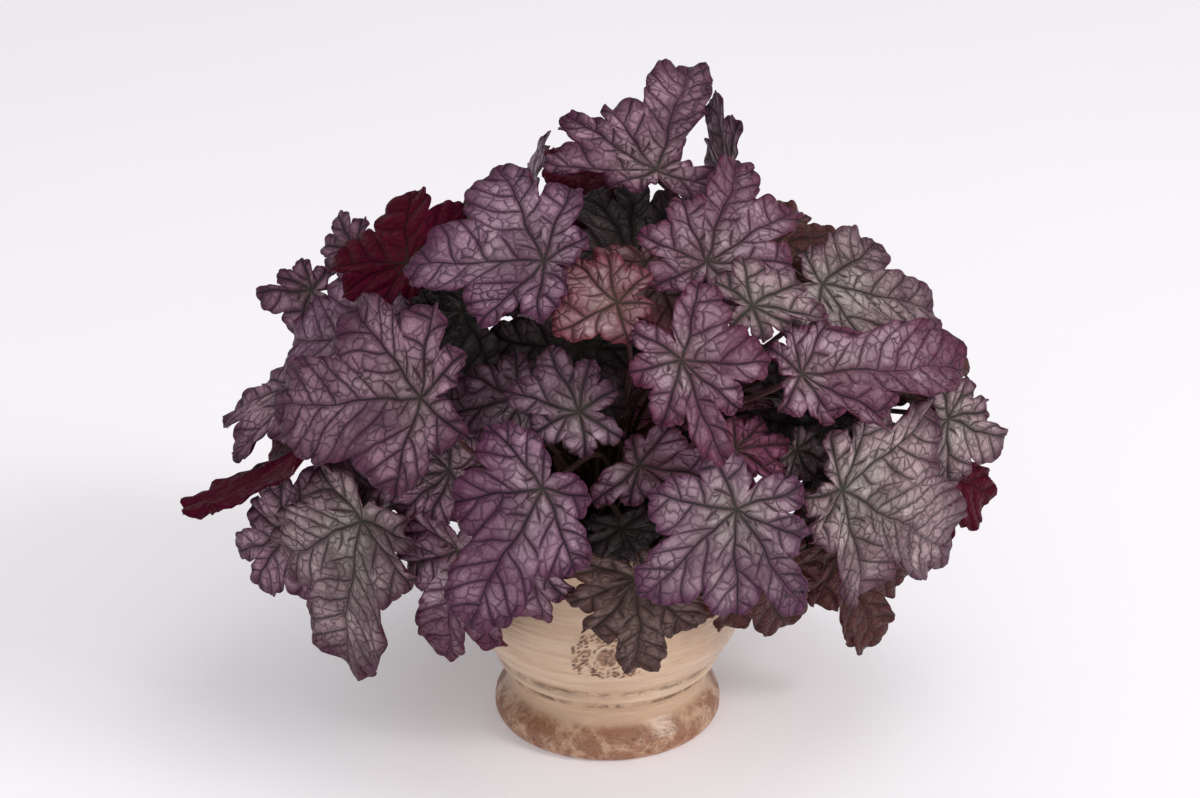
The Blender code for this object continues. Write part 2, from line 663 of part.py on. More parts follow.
def fine_steps(path):
    """Points along a path of straight steps, no further apart than the sampling distance."""
    result = []
    for start, end in zip(path, path[1:]):
        count = max(1, math.ceil(float(np.linalg.norm(end - start)) / STALK_SAMPLING))
        result += [start + (end - start) * k / count for k in range(count)]
    return np.array(result + [path[-1]])


def first_route(blade):
    """The stalk's plain path from the end of its rise to the blade, as a cubic curve's control points."""
    under = -blade["normal"]
    top = blade["base"] + under * FIRST_STALK_DROP
    start = blade["riser"]
    span = float(np.linalg.norm(top - start))
    low = start + np.array([0.0, 0.0, 0.30 * span])
    high = top + (under * 0.55 - blade["along"] * 0.3 + np.array([0.0, 0.0, -0.35])) * span * 0.3
    return [start, low, high, top]


def bent(route, rng, amount):
    """The route with its two middle control points moved at random."""
    start, low, high, top = route
    low = low + np.array([rng.uniform(-amount, amount) for _ in range(3)])
    high = high + np.array([rng.uniform(-amount, amount) for _ in range(3)])
    return [start, low, high, top]


def too_bent(blade, path):
    """Whether the path turns too sharply anywhere, or dips down to the soil."""
    whole = [blade["seat"], *path, blade["base"]]
    ways = [(b - a) / np.linalg.norm(b - a) for a, b in zip(whole, whole[1:])]
    dips = any(point[2] < blade["riser"][2] - 3.0 for point in path)
    return dips or any(a @ b < MOST_BEND for a, b in zip(ways, ways[1:]))


def stalk_points(blade):
    """Points along the whole of a stalk above the soil. One with no route yet has only its straight rise."""
    path = [blade["seat"], blade["riser"]]
    if "route" in blade:
        path += curve_points(blade["route"], STALK_STEPS)[1:]
    return fine_steps(path)


def tree_of_stalks(blades):
    points = np.vstack([stalk_points(blade) for blade in blades])
    tree = KDTree(len(points))
    for k, point in enumerate(points):
        tree.insert(Vector(point), k)
    tree.balance()
    return tree


def count_meetings(path, blades_tree, stalks_tree, most):
    """How often a stalk's path crosses or nearly touches a blade, the pot or another stalk, up to most."""
    meetings = 0
    for start, end in zip(path[:-2], path[1:-1]):
        step = Vector(end - start)
        meetings += 2 * (blades_tree.ray_cast(Vector(start), step.normalized(), step.length)[0] is not None)
    points = [Vector(point) for point in fine_steps(path)[:-1]]
    for k, point in enumerate(points):
        if meetings >= most:
            break
        meetings += stalks_tree.find(point)[2] < STALK_SPACING
        reach = STALK_CLEARANCE if k < len(points) - 3 else STALK_CLEARANCE * 0.8
        meetings += blades_tree.find_nearest(point, reach)[0] is not None
        if k:
            step = point - points[k - 1]
            meetings += blades_tree.ray_cast(points[k - 1], step.normalized(), step.length)[0] is not None
    return meetings


def route_stalks(blades):
    """Finds each stalk a way to its blade that stays clear of every blade and every other stalk.

    After the first round, only those that still meet something look for a new way.
    """
    pot_points, pot_faces = turned_solid(pot_profile(), POT_SIDES)
    all_points, all_faces = list(pot_points), list(pot_faces)
    for blade in blades:
        points, faces = closed_blade(blade, BLADE_THICKNESS)
        all_faces += [tuple(i + len(all_points) for i in face) for face in faces]
        all_points += [tuple(p) for p in points]
    blades_tree = tree_of(all_points, all_faces)
    order = sorted(blades, key=lambda b: float(np.linalg.norm(b["base"] - b["seat"])))
    for turn in range(ROUTING_ROUNDS):
        clashing = []
        for blade in order:
            stalks_tree = tree_of_stalks([other for other in blades if other is not blade])
            if "route" in blade:
                path = curve_points(blade["route"], STALK_STEPS)
                blade["meetings"] = count_meetings(path, blades_tree, stalks_tree, 1000)
            if blade.get("meetings", 1) and turn < ROUTING_ROUNDS - 1:
                find_route(blade, blades_tree, stalks_tree, turn)
            if blade["meetings"]:
                clashing.append(blade)
        if not clashing:
            break
    return clashing


def find_route(blade, blades_tree, stalks_tree, turn):
    """Tries paths for one stalk, first ever wider ones, then small changes to the best one."""
    rng = random.Random(f"stalk of {blade['name']}, round {turn}")
    plain = first_route(blade)
    span = float(np.linalg.norm(plain[3] - plain[0]))
    blade["route"] = plain
    fewest = 1000
    for trial in range(STALK_TRIALS):
        if trial < WIDE_TRIALS:
            route = bent(plain, rng, span * 0.55 * trial / WIDE_TRIALS)
        else:
            route = bent(blade["route"], rng, rng.choice((4.0, 10.0, 22.0)))
        path = curve_points(route, STALK_STEPS)
        if trial and too_bent(blade, path):
            continue
        meetings = count_meetings(path, blades_tree, stalks_tree, fewest + 1)
        if meetings <= fewest:
            fewest = meetings
            blade["route"] = route
        if meetings == 0:
            break
    blade["meetings"] = fewest


def stitch(outer, outer_angles, inner, inner_angles):
    """Triangles between two rings of points round one middle, seen from below, whose angles both rise."""
    turn = 2 * math.pi
    start = min(range(len(inner)), key=lambda k: abs(math.remainder(inner_angles[k] - outer_angles[0], turn)))
    first = outer_angles[0] + math.remainder(inner_angles[start] - outer_angles[0], turn)
    inner_way = [first + (inner_angles[(start + k) % len(inner)] - inner_angles[start]) % turn
                 for k in range(len(inner))] + [first + turn]
    outer_way = [*outer_angles, outer_angles[0] + turn]
    faces = []
    i = j = 0
    while i < len(outer) or j < len(inner):
        here_outer, here_inner = outer[i % len(outer)], inner[(start + j) % len(inner)]
        if j == len(inner) or (i < len(outer) and outer_way[i + 1] <= inner_way[j + 1]):
            faces.append((here_outer, here_inner, outer[(i + 1) % len(outer)]))
            i += 1
        else:
            faces.append((here_outer, here_inner, inner[(start + j + 1) % len(inner)]))
            j += 1
    return faces


def leaf_solid(blade):
    """The whole leaf as one closed solid: the blade, and its stalk out of the underside's inner ring."""
    top, bottom, top_faces = blade_mesh(blade, BLADE_THICKNESS)
    lobe_count = len(blade["lobes"])
    offset = len(top)
    centre = offset - 1
    points = [*top, *bottom[:-1]]
    faces = list(top_faces)
    under_faces = [face for face in top_faces if centre not in face]
    faces += [(c + offset, b + offset, a + offset) for a, b, c in under_faces]
    faces += rim_faces(blade, offset)
    under = -blade["normal"]
    path = [blade["base"] + under * (BLADE_THICKNESS / 2 + 0.5)]
    path += list(reversed(curve_points(blade["route"], STALK_STEPS)))
    path.append(blade["seat"] + np.array([0.0, 0.0, 1.0 - HOLE_DEPTH]))
    inner_start = offset + (len(edge_steps(blade)) + len(MIDDLE_STEPS)) * lobe_count
    corners = [math.pi * (2 * k + 1) / STALK_SIDES - math.pi for k in range(STALK_SIDES)]
    across = blade["across"]
    previous = None
    for step, point in enumerate(path):
        if step == 0:
            heading = under
        elif step == len(path) - 1:
            heading = np.array([0.0, 0.0, -1.0])
        else:
            heading = path[step + 1] - path[step - 1]
            heading = heading / np.linalg.norm(heading)
        across = across - heading * (across @ heading)
        across = across / np.linalg.norm(across)
        along = np.cross(heading, across)
        ring = []
        for angle in corners:
            ring.append(len(points))
            points.append(point + (along * math.cos(angle) + across * math.sin(angle)) * STALK_RADIUS)
        if previous is None:
            inner_ring = [inner_start + k for k in range(lobe_count)]
            faces += stitch(inner_ring, [angle for angle, _ in blade["lobes"]], ring, corners)
        else:
            for k in range(STALK_SIDES):
                following = (k + 1) % STALK_SIDES
                faces.append((previous[k], ring[k], ring[following]))
                faces.append((previous[k], ring[following], previous[following]))
        previous = ring
    faces.append(tuple(reversed(previous)))
    return points, faces


def make_pot():
    material = make_material("pot_glaze", (0.62, 0.50, 0.38, 1.0), 0.35)
    points, faces = turned_solid(pot_profile(), POT_SIDES)
    return make_object("pot", points, faces, material)


def make_soil(blades):
    """The soil, with a plain hole for each stalk, all cut in one go."""
    material = make_material("potting_mix", (0.05, 0.035, 0.025, 1.0), 0.95)
    points, faces = turned_solid(soil_profile(), SOIL_SIDES)
    soil = make_object("soil", points, faces, material)
    holes = bpy.data.collections.new("holes")
    bpy.context.scene.collection.children.link(holes)
    radius = (STALK_RADIUS + FIT_GAP) / math.cos(math.pi / HOLE_SIDES)
    for blade in blades:
        seat = blade["seat"]
        corners = []
        for height in (seat[2] - HOLE_DEPTH, seat[2] + 4.0):
            for k in range(HOLE_SIDES):
                angle = 2 * math.pi * k / HOLE_SIDES
                around = (radius * math.cos(angle), radius * math.sin(angle))
                corners.append((seat[0] + around[0], seat[1] + around[1], height))
        upper = [k + HOLE_SIDES for k in range(HOLE_SIDES)]
        sides = [(k, (k + 1) % HOLE_SIDES, upper[(k + 1) % HOLE_SIDES], upper[k]) for k in range(HOLE_SIDES)]
        ends = [tuple(reversed(range(HOLE_SIDES))), tuple(upper)]
        hole = make_object("hole", corners, ends + sides, material)
        bpy.context.scene.collection.objects.unlink(hole)
        holes.objects.link(hole)
    cut = soil.modifiers.new("holes", "BOOLEAN")
    cut.operation = "DIFFERENCE"
    cut.operand_type = "COLLECTION"
    cut.collection = holes
    cut.solver = "EXACT"
    apply_modifiers(soil)
    for hole in list(holes.objects):
        bpy.data.objects.remove(hole, do_unlink=True)
    bpy.data.collections.remove(holes)
    return soil


def apply_modifiers(obj):
    bpy.context.view_layer.update()
    graph = bpy.context.evaluated_depsgraph_get()
    finished = bpy.data.meshes.new_from_object(obj.evaluated_get(graph))
    obj.modifiers.clear()
    obj.data = finished


def make_leaves(blades):
    materials = {kind: make_material("leaf_" + kind, *look) for kind, look in KINDS.items()}
    for blade in blades:
        points, faces = leaf_solid(blade)
        make_object("leaf_" + blade["name"], points, faces, materials[blade["kind"]], smooth=False)


def main():
    clear_scene()
    make_pot()
    pot_tree = tree_of(*turned_solid(pot_profile(), POT_SIDES))
    blades = [seen_blade(entry) for entry in SEEN_LEAVES] + [back_blade(entry) for entry in BACK_LEAVES]
    blades = place_blades(blades, [pot_tree])
    share_seats(blades)
    failed = route_stalks(blades)
    make_soil(blades)
    make_leaves(blades)
    moved = [(blade["name"], *blade["moved"]) for blade in blades if any(blade["moved"][2:])]
    print("moved to keep clear:", moved)
    print("stalks that found no clear way:", [(blade["name"], blade["meetings"]) for blade in failed])


main()
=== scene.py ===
# %% [markdown]
# # Coral bells in a small footed pot
# The plant is a mound of lobed, silvery purple leaves. Each leaf stands on its own thin stalk in the
# potting mix, and the mix fills a small glazed pot. The plain solids of all of these are loaded first. They
# hold the places and the sizes, and this lesson gives each of them its fine form and its finish.

# %% Load the plain solids
import math
import random
import bpy
import numpy as np
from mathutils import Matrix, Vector
from mathutils.bvhtree import BVHTree
from mathutils.kdtree import KDTree


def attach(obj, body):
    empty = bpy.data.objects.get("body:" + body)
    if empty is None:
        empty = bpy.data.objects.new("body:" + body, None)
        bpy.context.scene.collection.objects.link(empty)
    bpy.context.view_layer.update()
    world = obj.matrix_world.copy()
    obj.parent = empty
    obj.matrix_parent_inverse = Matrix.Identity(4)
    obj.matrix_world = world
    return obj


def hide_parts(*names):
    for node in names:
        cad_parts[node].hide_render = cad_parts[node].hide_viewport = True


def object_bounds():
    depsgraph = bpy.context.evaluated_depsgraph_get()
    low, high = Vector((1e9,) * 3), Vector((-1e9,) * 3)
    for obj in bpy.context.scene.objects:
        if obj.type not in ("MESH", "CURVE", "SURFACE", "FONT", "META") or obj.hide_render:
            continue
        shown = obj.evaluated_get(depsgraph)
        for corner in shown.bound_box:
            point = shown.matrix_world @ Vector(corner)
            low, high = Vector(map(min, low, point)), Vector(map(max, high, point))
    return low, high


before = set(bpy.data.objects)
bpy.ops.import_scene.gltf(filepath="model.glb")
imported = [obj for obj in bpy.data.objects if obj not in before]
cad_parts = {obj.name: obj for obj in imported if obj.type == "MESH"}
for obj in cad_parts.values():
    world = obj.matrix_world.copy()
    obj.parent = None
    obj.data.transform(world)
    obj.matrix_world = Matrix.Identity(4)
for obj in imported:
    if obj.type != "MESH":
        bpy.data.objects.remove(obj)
solid_low, solid_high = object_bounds()
# The plant's own sizes are written in mm, and Blender counts in metres.
MM = 0.001
print("solids:", len(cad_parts), "height", round(solid_high.z - solid_low.z, 3), "m")

# %% [markdown]
# ## The eye
# Every leaf's place was read along a line of sight, so the camera stands exactly where that eye stood. It
# looks down by 24 degrees, and a 75 mm lens keeps the mound free of strong perspective.

# %% The camera
EYE = (-4.0, -1158.0, 694.0)
EYE_PITCH = math.radians(24.0)
FOCAL_PX = 2500.0
MIDDLE_PX = (600.0, 399.0)
PHOTO_WIDTH_PX = 1200
SENSOR_WIDTH = 36.0
FARTHEST_SEEN = 50.0


def add_object(name, data):
    """Puts an object with this mesh, lamp or camera into the scene."""
    made = bpy.data.objects.new(name, data)
    bpy.context.scene.collection.objects.link(made)
    return made


def make_camera():
    data = bpy.data.cameras.new("camera")
    data.sensor_width = SENSOR_WIDTH
    data.lens = FOCAL_PX * SENSOR_WIDTH / PHOTO_WIDTH_PX
    data.clip_end = FARTHEST_SEEN
    camera = add_object("camera", data)
    camera.location = [c * MM for c in EYE]
    camera.rotation_euler = (math.radians(90.0) - EYE_PITCH, 0.0, 0.0)
    bpy.context.scene.camera = camera
    return camera


camera = make_camera()
print("camera lens", camera.data.lens, "mm")

# %% [markdown]
# ## What each leaf is like
# A leaf is written down by where its stalk meets the blade and where its lobes end, the main lobe first, as
# pixels of the picture. That is the quickest honest way to describe an irregular mound: the eye does the
# measuring, and a rounded shell gives the depth. Layer 0 is the outside of the mound, and 2 is deep inside.

# %% The leaves that can be seen


def leaf(name, base, lobes, kind, layer=0, face=0.62, droop=0.10, shift=0.0, roll=0.0):
    """A photographed leaf: where its stalk meets the blade and where its lobes end, the main lobe first."""
    return dict(name=name, base_px=base, lobes_px=lobes, kind=kind, layer=layer, face=face,
                droop=droop, shift=shift, roll=math.radians(roll))


# Leaves of the kind shade get painted shade: they lie deep in the mound and are coloured dark for the shade
# there.
SEEN_LEAVES = (
    leaf("top", (656, 170),
         ((691, 57), (714, 97), (684, 158), (607, 105), (564, 113), (541, 165), (608, 184)), "mauve",
         droop=0.04),
    leaf("top_folded", (727, 176), ((712, 66),), "mauve", face=0.95, droop=0.0, roll=80),
    leaf("top_right", (706, 262), ((745, 147), (683, 195), (799, 202), (797, 258), (752, 308)), "pink"),
    leaf("top_right_back", (768, 250), ((842, 225), (808, 205), (829, 250)), "brown", layer=1),
    leaf("right_upper", (822, 284), ((950, 302), (882, 238), (802, 249), (893, 318)), "silver"),
    leaf("right_small", (752, 306), ((835, 313), (804, 277), (792, 325)), "silver", shift=12.0),
    leaf("salmon", (617, 303), ((552, 330), (568, 256), (605, 250), (650, 268), (655, 305)), "salmon"),
    leaf("red_shade", (648, 262), ((712, 300), (700, 265), (690, 335)), "salmon", layer=1),
    leaf("centre_right", (681, 360),
         ((728, 463), (740, 410), (773, 363), (705, 277), (632, 325), (662, 425)), "pink", shift=10.0),
    leaf("right_large", (801, 374), ((983, 362), (898, 322), (832, 318), (768, 345), (785, 415), (836, 422),
                                     (893, 418)), "pink"),
    leaf("right_silver", (842, 490), ((1001, 577), (948, 412), (833, 430), (802, 505), (815, 547), (875, 603),
                                      (945, 580)), "silver", droop=0.14),
    leaf("front_right", (736, 509), ((645, 604), (740, 621), (810, 617), (808, 545), (808, 487), (650, 498)),
         "silver_pink", shift=12.0),
    leaf("front_left", (543, 488), ((461, 632), (512, 606), (578, 575), (592, 500), (486, 424), (449, 505)),
         "lavender", shift=12.0),
    leaf("left_large", (421, 398), ((262, 405), (345, 302), (430, 301), (463, 352), (463, 438), (388, 497),
                                    (322, 440)), "mauve", shift=6.0),
    leaf("left_upper", (544, 261), ((401, 256), (497, 158), (568, 180), (588, 234), (537, 320), (478, 322)),
         "lavender", shift=6.0),
    leaf("burgundy_left", (407, 262), ((322, 262), (404, 186), (425, 193), (338, 287)), "burgundy"),
    leaf("left_back_small", (352, 252), ((335, 210), (362, 216), (322, 240)), "mauve", layer=2, shift=-20.0),
    leaf("left_tip_upper", (312, 290), ((250, 295), (280, 276)), "mauve", layer=1, face=0.8, roll=30,
         shift=-10.0),
    leaf("left_tip_middle", (368, 342), ((279, 335), (300, 303), (290, 352)), "lavender", layer=1),
    leaf("left_tip_lower", (300, 385), ((221, 405), (250, 368), (249, 418)), "mauve", layer=1, shift=-12.0),
    leaf("burgundy_curled", (318, 438), ((188, 515),), "burgundy", layer=1, face=0.85, roll=72,
         shift=8.0),
    leaf("left_low_back", (286, 532), ((232, 556), (246, 508), (250, 590), (272, 466), (338, 474)), "mauve",
         layer=1, shift=-26.0),
    leaf("left_silver", (362, 520), ((325, 681), (276, 562), (312, 467), (368, 643), (409, 592), (413, 542)),
         "silver", shift=-14.0, droop=0.12),
    leaf("left_dusky", (450, 470), ((327, 500), (338, 452), (340, 534), (395, 520), (430, 523)), "mauve",
         layer=1),
    leaf("front_magenta", (458, 550), ((441, 667), (402, 570), (416, 620), (493, 656), (516, 615)), "pink",
         layer=1),
    leaf("front_small", (530, 560), ((540, 628), (568, 602), (512, 608)), "pink", layer=1),
    leaf("front_low", (637, 580), ((641, 685), (568, 605), (592, 640), (683, 668), (695, 632)),
         "brown_silver", layer=1, shift=22.0),
    leaf("front_dark", (622, 528), ((620, 590), (586, 548), (640, 562)), "shade", layer=2),
    leaf("front_right_back", (752, 575), ((793, 633), (722, 633), (697, 615), (814, 620)), "brown", layer=1),
    leaf("right_brown", (838, 555), ((888, 654), (818, 610), (855, 646), (912, 626), (914, 583), (800, 505)),
         "brown", layer=1),
    leaf("burgundy_right", (925, 455), ((1005, 505), (966, 442), (1000, 478), (985, 516)), "burgundy",
         layer=1),
    leaf("right_pale", (948, 418), ((1013, 443), (985, 408)), "silver", layer=1),
    leaf("burgundy_right_upper", (890, 388), ((966, 403),), "burgundy", layer=2, face=0.9, roll=68),
    leaf("right_back_brown", (900, 352), ((971, 346), (910, 313), (945, 329)), "brown", layer=2),
    leaf("centre_dusky", (579, 412), ((503, 392), (548, 345), (590, 358), (618, 385), (622, 440), (585, 458),
                                      (530, 432)), "dusky"),
    leaf("centre_left_grey", (522, 400), ((440, 412), (464, 376), (480, 420)), "dusky", layer=1),
    leaf("centre_ruffled", (639, 465),
         ((740, 488), (672, 422), (632, 434), (592, 506), (628, 507), (672, 488)), "pink", layer=1),
    leaf("centre_red", (735, 450), ((792, 445), (765, 419), (785, 478), (752, 481)), "magenta", layer=1),
    leaf("right_silver_small", (797, 450), ((834, 464), (816, 433), (815, 478)), "silver", layer=1),
    leaf("upper_shade", (635, 258), ((628, 168), (588, 180), (566, 246), (684, 184), (696, 240)), "shade",
         layer=1),
    leaf("left_upper_back", (468, 245), ((437, 203), (463, 197), (482, 182)), "shade", layer=2),
    leaf("top_left_back", (528, 190), ((543, 127),), "dusky", layer=2, face=0.9, roll=66),
    leaf("burgundy_top", (602, 232), ((572, 132), (542, 150), (612, 140), (634, 186), (562, 226)), "burgundy",
         layer=1, shift=-24.0),
    leaf("left_inner_grey", (462, 312), ((383, 303), (400, 272), (425, 360), (492, 372), (520, 305)), "shade",
         layer=2),
    leaf("deep_middle", (580, 350), ((482, 338), (545, 290), (640, 285), (690, 345), (620, 420), (535, 425)),
         "shade", layer=1, shift=-40.0),
    leaf("deep_right", (830, 425),
         ((905, 455), (885, 375), (760, 368), (752, 420), (775, 475), (850, 500)), "shade",
         layer=1, shift=-30.0),
    leaf("right_inner", (880, 358), ((850, 424), (802, 428), (918, 420)), "brown", layer=2),
)
print("leaves seen:", len(SEEN_LEAVES))

# %% [markdown]
# The back of the mound can't be seen, so those leaves follow a rule: a low ring and a high ring of hanging
# leaves and one near the crest, each given by its bearing, height, reach and length.

# %% The leaves round the back
BACK_LEAVES = (
    ("back_low_1", 12.0, 128.0, 110.0, 74.0),
    ("back_low_2", 38.0, 140.0, 118.0, 92.0),
    ("back_low_3", 68.0, 132.0, 116.0, 96.0),
    ("back_low_4", 98.0, 140.0, 120.0, 98.0),
    ("back_low_5", 128.0, 130.0, 116.0, 94.0),
    ("back_low_6", 158.0, 138.0, 114.0, 86.0),
    ("back_high_1", 30.0, 205.0, 88.0, 82.0),
    ("back_high_2", 68.0, 214.0, 94.0, 82.0),
    ("back_high_3", 104.0, 206.0, 92.0, 90.0),
    ("back_high_4", 146.0, 204.0, 88.0, 84.0),
    ("back_crest", 84.0, 250.0, 42.0, 76.0),
)
print("leaves at the back:", len(BACK_LEAVES))

# %% [markdown]
# ## From the eye to the mound
# A line of sight has no depth of its own. It meets a flattened ball, the shell of the mound, and the shell
# also says which way a leaf there faces. A leaf that would be seen edge-on is turned a little towards the
# eye.

# %% Lines of sight and the shell
SHELL_MIDDLE_HEIGHT = 182.0
SHELL_RADIUS = 150.0
SHELL_HALF_HEIGHT = 124.0


def sight_direction(pixel):
    """The way from the eye through a pixel."""
    forward = np.array([0.0, math.cos(EYE_PITCH), -math.sin(EYE_PITCH)])
    up = np.array([0.0, math.sin(EYE_PITCH), math.cos(EYE_PITCH)])
    across = np.array([1.0, 0.0, 0.0])
    way = forward + across * (pixel[0] - MIDDLE_PX[0]) / FOCAL_PX + up * (MIDDLE_PX[1] - pixel[1]) / FOCAL_PX
    return way / np.linalg.norm(way)


def shell_point(pixel, scale):
    """Where the line of sight meets the shell, or passes nearest to it, and which way is outwards there."""
    eye = np.array(EYE)
    way = sight_direction(pixel)
    sizes = np.array([SHELL_RADIUS, SHELL_RADIUS, SHELL_HALF_HEIGHT]) * scale
    start = (eye - np.array([0.0, 0.0, SHELL_MIDDLE_HEIGHT])) / sizes
    step = way / sizes
    a = step @ step
    b = start @ step
    inside = b * b - a * (start @ start - 1.0)
    distance = (-b - math.sqrt(max(inside, 0.0))) / a
    point = eye + way * distance
    outward = (point - np.array([0.0, 0.0, SHELL_MIDDLE_HEIGHT])) / sizes ** 2
    return point, outward / np.linalg.norm(outward)


def facing(normal, towards, least):
    """The normal, turned towards the eye until it faces it by at least this much."""
    if normal @ towards >= least:
        return normal
    aside = normal - towards * (normal @ towards)
    aside /= np.linalg.norm(aside)
    return towards * least + aside * math.sqrt(1.0 - least * least)


print("shell of the mound:", 2 * SHELL_RADIUS, "mm wide")

# %% [markdown]
# ## One blade as a formula
# A leaf of this kind has five to seven rounded lobes round the place where the stalk joins. Each lobe is an
# angle and a length, so one formula can draw every blade, large or small. Lobes that are hidden are filled
# in with a steady spacing, so that each blade is whole.

# %% The lobes of a blade
LONGEST_LOBE = 122.0
LOBES_MERGE_WITHIN = math.radians(20)
NEXT_LOBE = math.radians(56)
LAST_LOBE = math.radians(88)
WIDEST_GAP = math.radians(84)
NEXT_LOBE_PART = 0.78
LEAST_LOBE_PART = 0.42
BETWEEN_LOBES_PART = 0.85


def fill_lobes(lobes):
    """Adds the lobes that can't be seen, so that lobes follow one another round to the stalk's notch."""
    main_length = lobes[0][1]
    kept = []
    for lobe in lobes:
        if all(abs(lobe[0] - other[0]) > LOBES_MERGE_WITHIN for other in kept):
            kept.append(lobe)
    lobes = sorted(kept)
    least = LEAST_LOBE_PART * main_length
    while lobes[-1][0] < LAST_LOBE:
        lobes.append((lobes[-1][0] + NEXT_LOBE, max(lobes[-1][1] * NEXT_LOBE_PART, least)))
    while lobes[0][0] > -LAST_LOBE:
        lobes.insert(0, (lobes[0][0] - NEXT_LOBE, max(lobes[0][1] * NEXT_LOBE_PART, least)))
    filled = [lobes[0]]
    for angle, length in lobes[1:]:
        before_angle, before_length = filled[-1]
        gap = angle - before_angle
        extra = int(gap // WIDEST_GAP)
        for k in range(1, extra + 1):
            part = k / (extra + 1)
            filler_length = BETWEEN_LOBES_PART * (before_length * (1 - part) + length * part)
            filled.append((before_angle + gap * part, filler_length))
        filled.append((angle, length))
    return filled


print("lobes stand at least", round(math.degrees(LOBES_MERGE_WITHIN)), "degrees apart")

# %% [markdown]
# A blade also needs a place and a frame: the way its main lobe points, the way across it, and its normal. A
# leaf that was seen gets them from its lines of sight, each cut with the plane of the blade. Each blade has
# waves of its own, drawn with a seed from its name, so a leaf never changes between runs.

# %% Each blade's place and frame
WAVE_NUMBERS = (2, 3, 5, 7)
WAVE_STRENGTHS = (0.4, 1.0)
LAYER_SCALES = (1.0, 0.86, 0.72)


def blade_record(entry, point, normal, ends):
    """A blade as one record, from its place, its normal and the ways to the ends of its lobes."""
    along = ends[0] / np.linalg.norm(ends[0])
    across = np.cross(normal, along)
    lobes = []
    for end in ends:
        length = min(float(np.linalg.norm(end)), LONGEST_LOBE)
        lobes.append((math.atan2(float(end @ across), float(end @ along)), length))
    rng = random.Random("waves of " + entry["name"])
    waves = [(k, rng.uniform(*WAVE_STRENGTHS) / math.sqrt(k), rng.uniform(0, 2 * math.pi))
             for k in WAVE_NUMBERS]
    return dict(name=entry["name"], kind=entry["kind"], layer=entry["layer"], droop=entry["droop"],
                base=point, normal=normal, along=along, across=across, lobes=fill_lobes(lobes),
                length=lobes[0][1], waves=waves)


def seen_blade(entry):
    """A photographed leaf's blade: its place, a frame on its plane, and each lobe's angle and length."""
    eye = np.array(EYE)
    towards = -sight_direction(entry["base_px"])
    point, outward = shell_point(entry["base_px"], LAYER_SCALES[entry["layer"]])
    point = point + towards * entry["shift"]
    normal = facing(outward, towards, entry["face"])
    ends = []
    for pixel in entry["lobes_px"]:
        way = sight_direction(pixel)
        distance = ((point - eye) @ normal) / (way @ normal)
        ends.append(eye + way * distance - point)
    blade = blade_record(entry, point, normal, ends)
    roll = entry["roll"]
    blade["normal"] = normal * math.cos(roll) + blade["across"] * math.sin(roll)
    blade["across"] = np.cross(blade["normal"], blade["along"])
    return blade


blades = [seen_blade(entry) for entry in SEEN_LEAVES]
print("blades from the picture:", len(blades))

# %% [markdown]
# Round the back a leaf faces outwards, the more upwards the higher it sits, and its main lobe hangs down.
# Its five lobes follow one pattern, and a seeded shake makes each leaf a little different.

# %% The blades round the back
BACK_LAYER = 3
BACK_DROOP = 0.12
BACK_LOWEST = 125.0
BACK_LIFT = 24.0
BACK_LIFT_GAIN = 42.0
BACK_SWING = 16
BACK_SHAKE = 5
# Each lobe is its turn from the main one in degrees and its length as a part of the main one's.
BACK_LOBES = ((0, 1.0), (-52, 0.84), (52, 0.82), (-106, 0.64), (106, 0.66))
BACK_KINDS = ("mauve", "silver", "pink", "lavender", "dusky", "brown")


def back_blade(entry):
    """The blade of a leaf round the back: it faces outwards and up, and its tip hangs outwards."""
    name, bearing, height, reach, length = entry
    rng = random.Random(name)
    angle = math.radians(bearing)
    radial = np.array([math.cos(angle), math.sin(angle), 0.0])
    point = radial * reach + np.array([0.0, 0.0, height])
    gain = BACK_LIFT_GAIN * (height - BACK_LOWEST) / BACK_LOWEST
    lift = math.radians(BACK_LIFT + gain + rng.uniform(-BACK_SHAKE, BACK_SHAKE))
    normal = radial * math.cos(lift) + np.array([0.0, 0.0, math.sin(lift)])
    down = radial * math.sin(lift) - np.array([0.0, 0.0, math.cos(lift)])
    side = np.cross(normal, down)
    swing = math.radians(rng.uniform(-BACK_SWING, BACK_SWING))
    ends = []
    for turn, part in BACK_LOBES:
        heading = swing + math.radians(turn + rng.uniform(-BACK_SHAKE, BACK_SHAKE))
        ends.append((down * math.cos(heading) + side * math.sin(heading)) * length * part)
    settings = dict(name=name, kind=rng.choice(BACK_KINDS), droop=BACK_DROOP, layer=BACK_LAYER)
    return blade_record(settings, point, normal, ends)


blades += [back_blade(entry) for entry in BACK_LEAVES]
print("blades:", len(blades))

# %% [markdown]
# The outline goes from notch to tip to notch over each lobe. A number called u runs from -1 at one notch
# through 0 at the tip to 1 at the other, and a power of it rounds the lobe. A wide lobe gets a lower power
# than a narrow one, or its tip would look cut off.

# %% The outline of a blade
NOTCH_PART = 0.72
STALK_NOTCH_PART = 0.36
LOBE_ROUNDNESS = math.radians(62)
LEAST_ROUNDNESS = 1.15
MOST_ROUNDNESS = 2.6


def lobe_edges(lobes):
    """Each lobe's middle, the notches beside it, and the blade's radius at its tip and at the notches."""
    count = len(lobes)
    result = []
    for k in range(count):
        angle, length = lobes[k]
        before = lobes[k - 1] if k else (lobes[-1][0] - 2 * math.pi, lobes[-1][1])
        after = lobes[k + 1] if k < count - 1 else (lobes[0][0] + 2 * math.pi, lobes[0][1])
        low_notch = NOTCH_PART * math.sqrt(length * before[1])
        high_notch = NOTCH_PART * math.sqrt(length * after[1])
        if k == 0:
            low_notch = STALK_NOTCH_PART * min(length, before[1])
        if k == count - 1:
            high_notch = STALK_NOTCH_PART * min(length, after[1])
        result.append(((before[0] + angle) / 2, angle, (angle + after[0]) / 2, length, low_notch, high_notch))
    return result


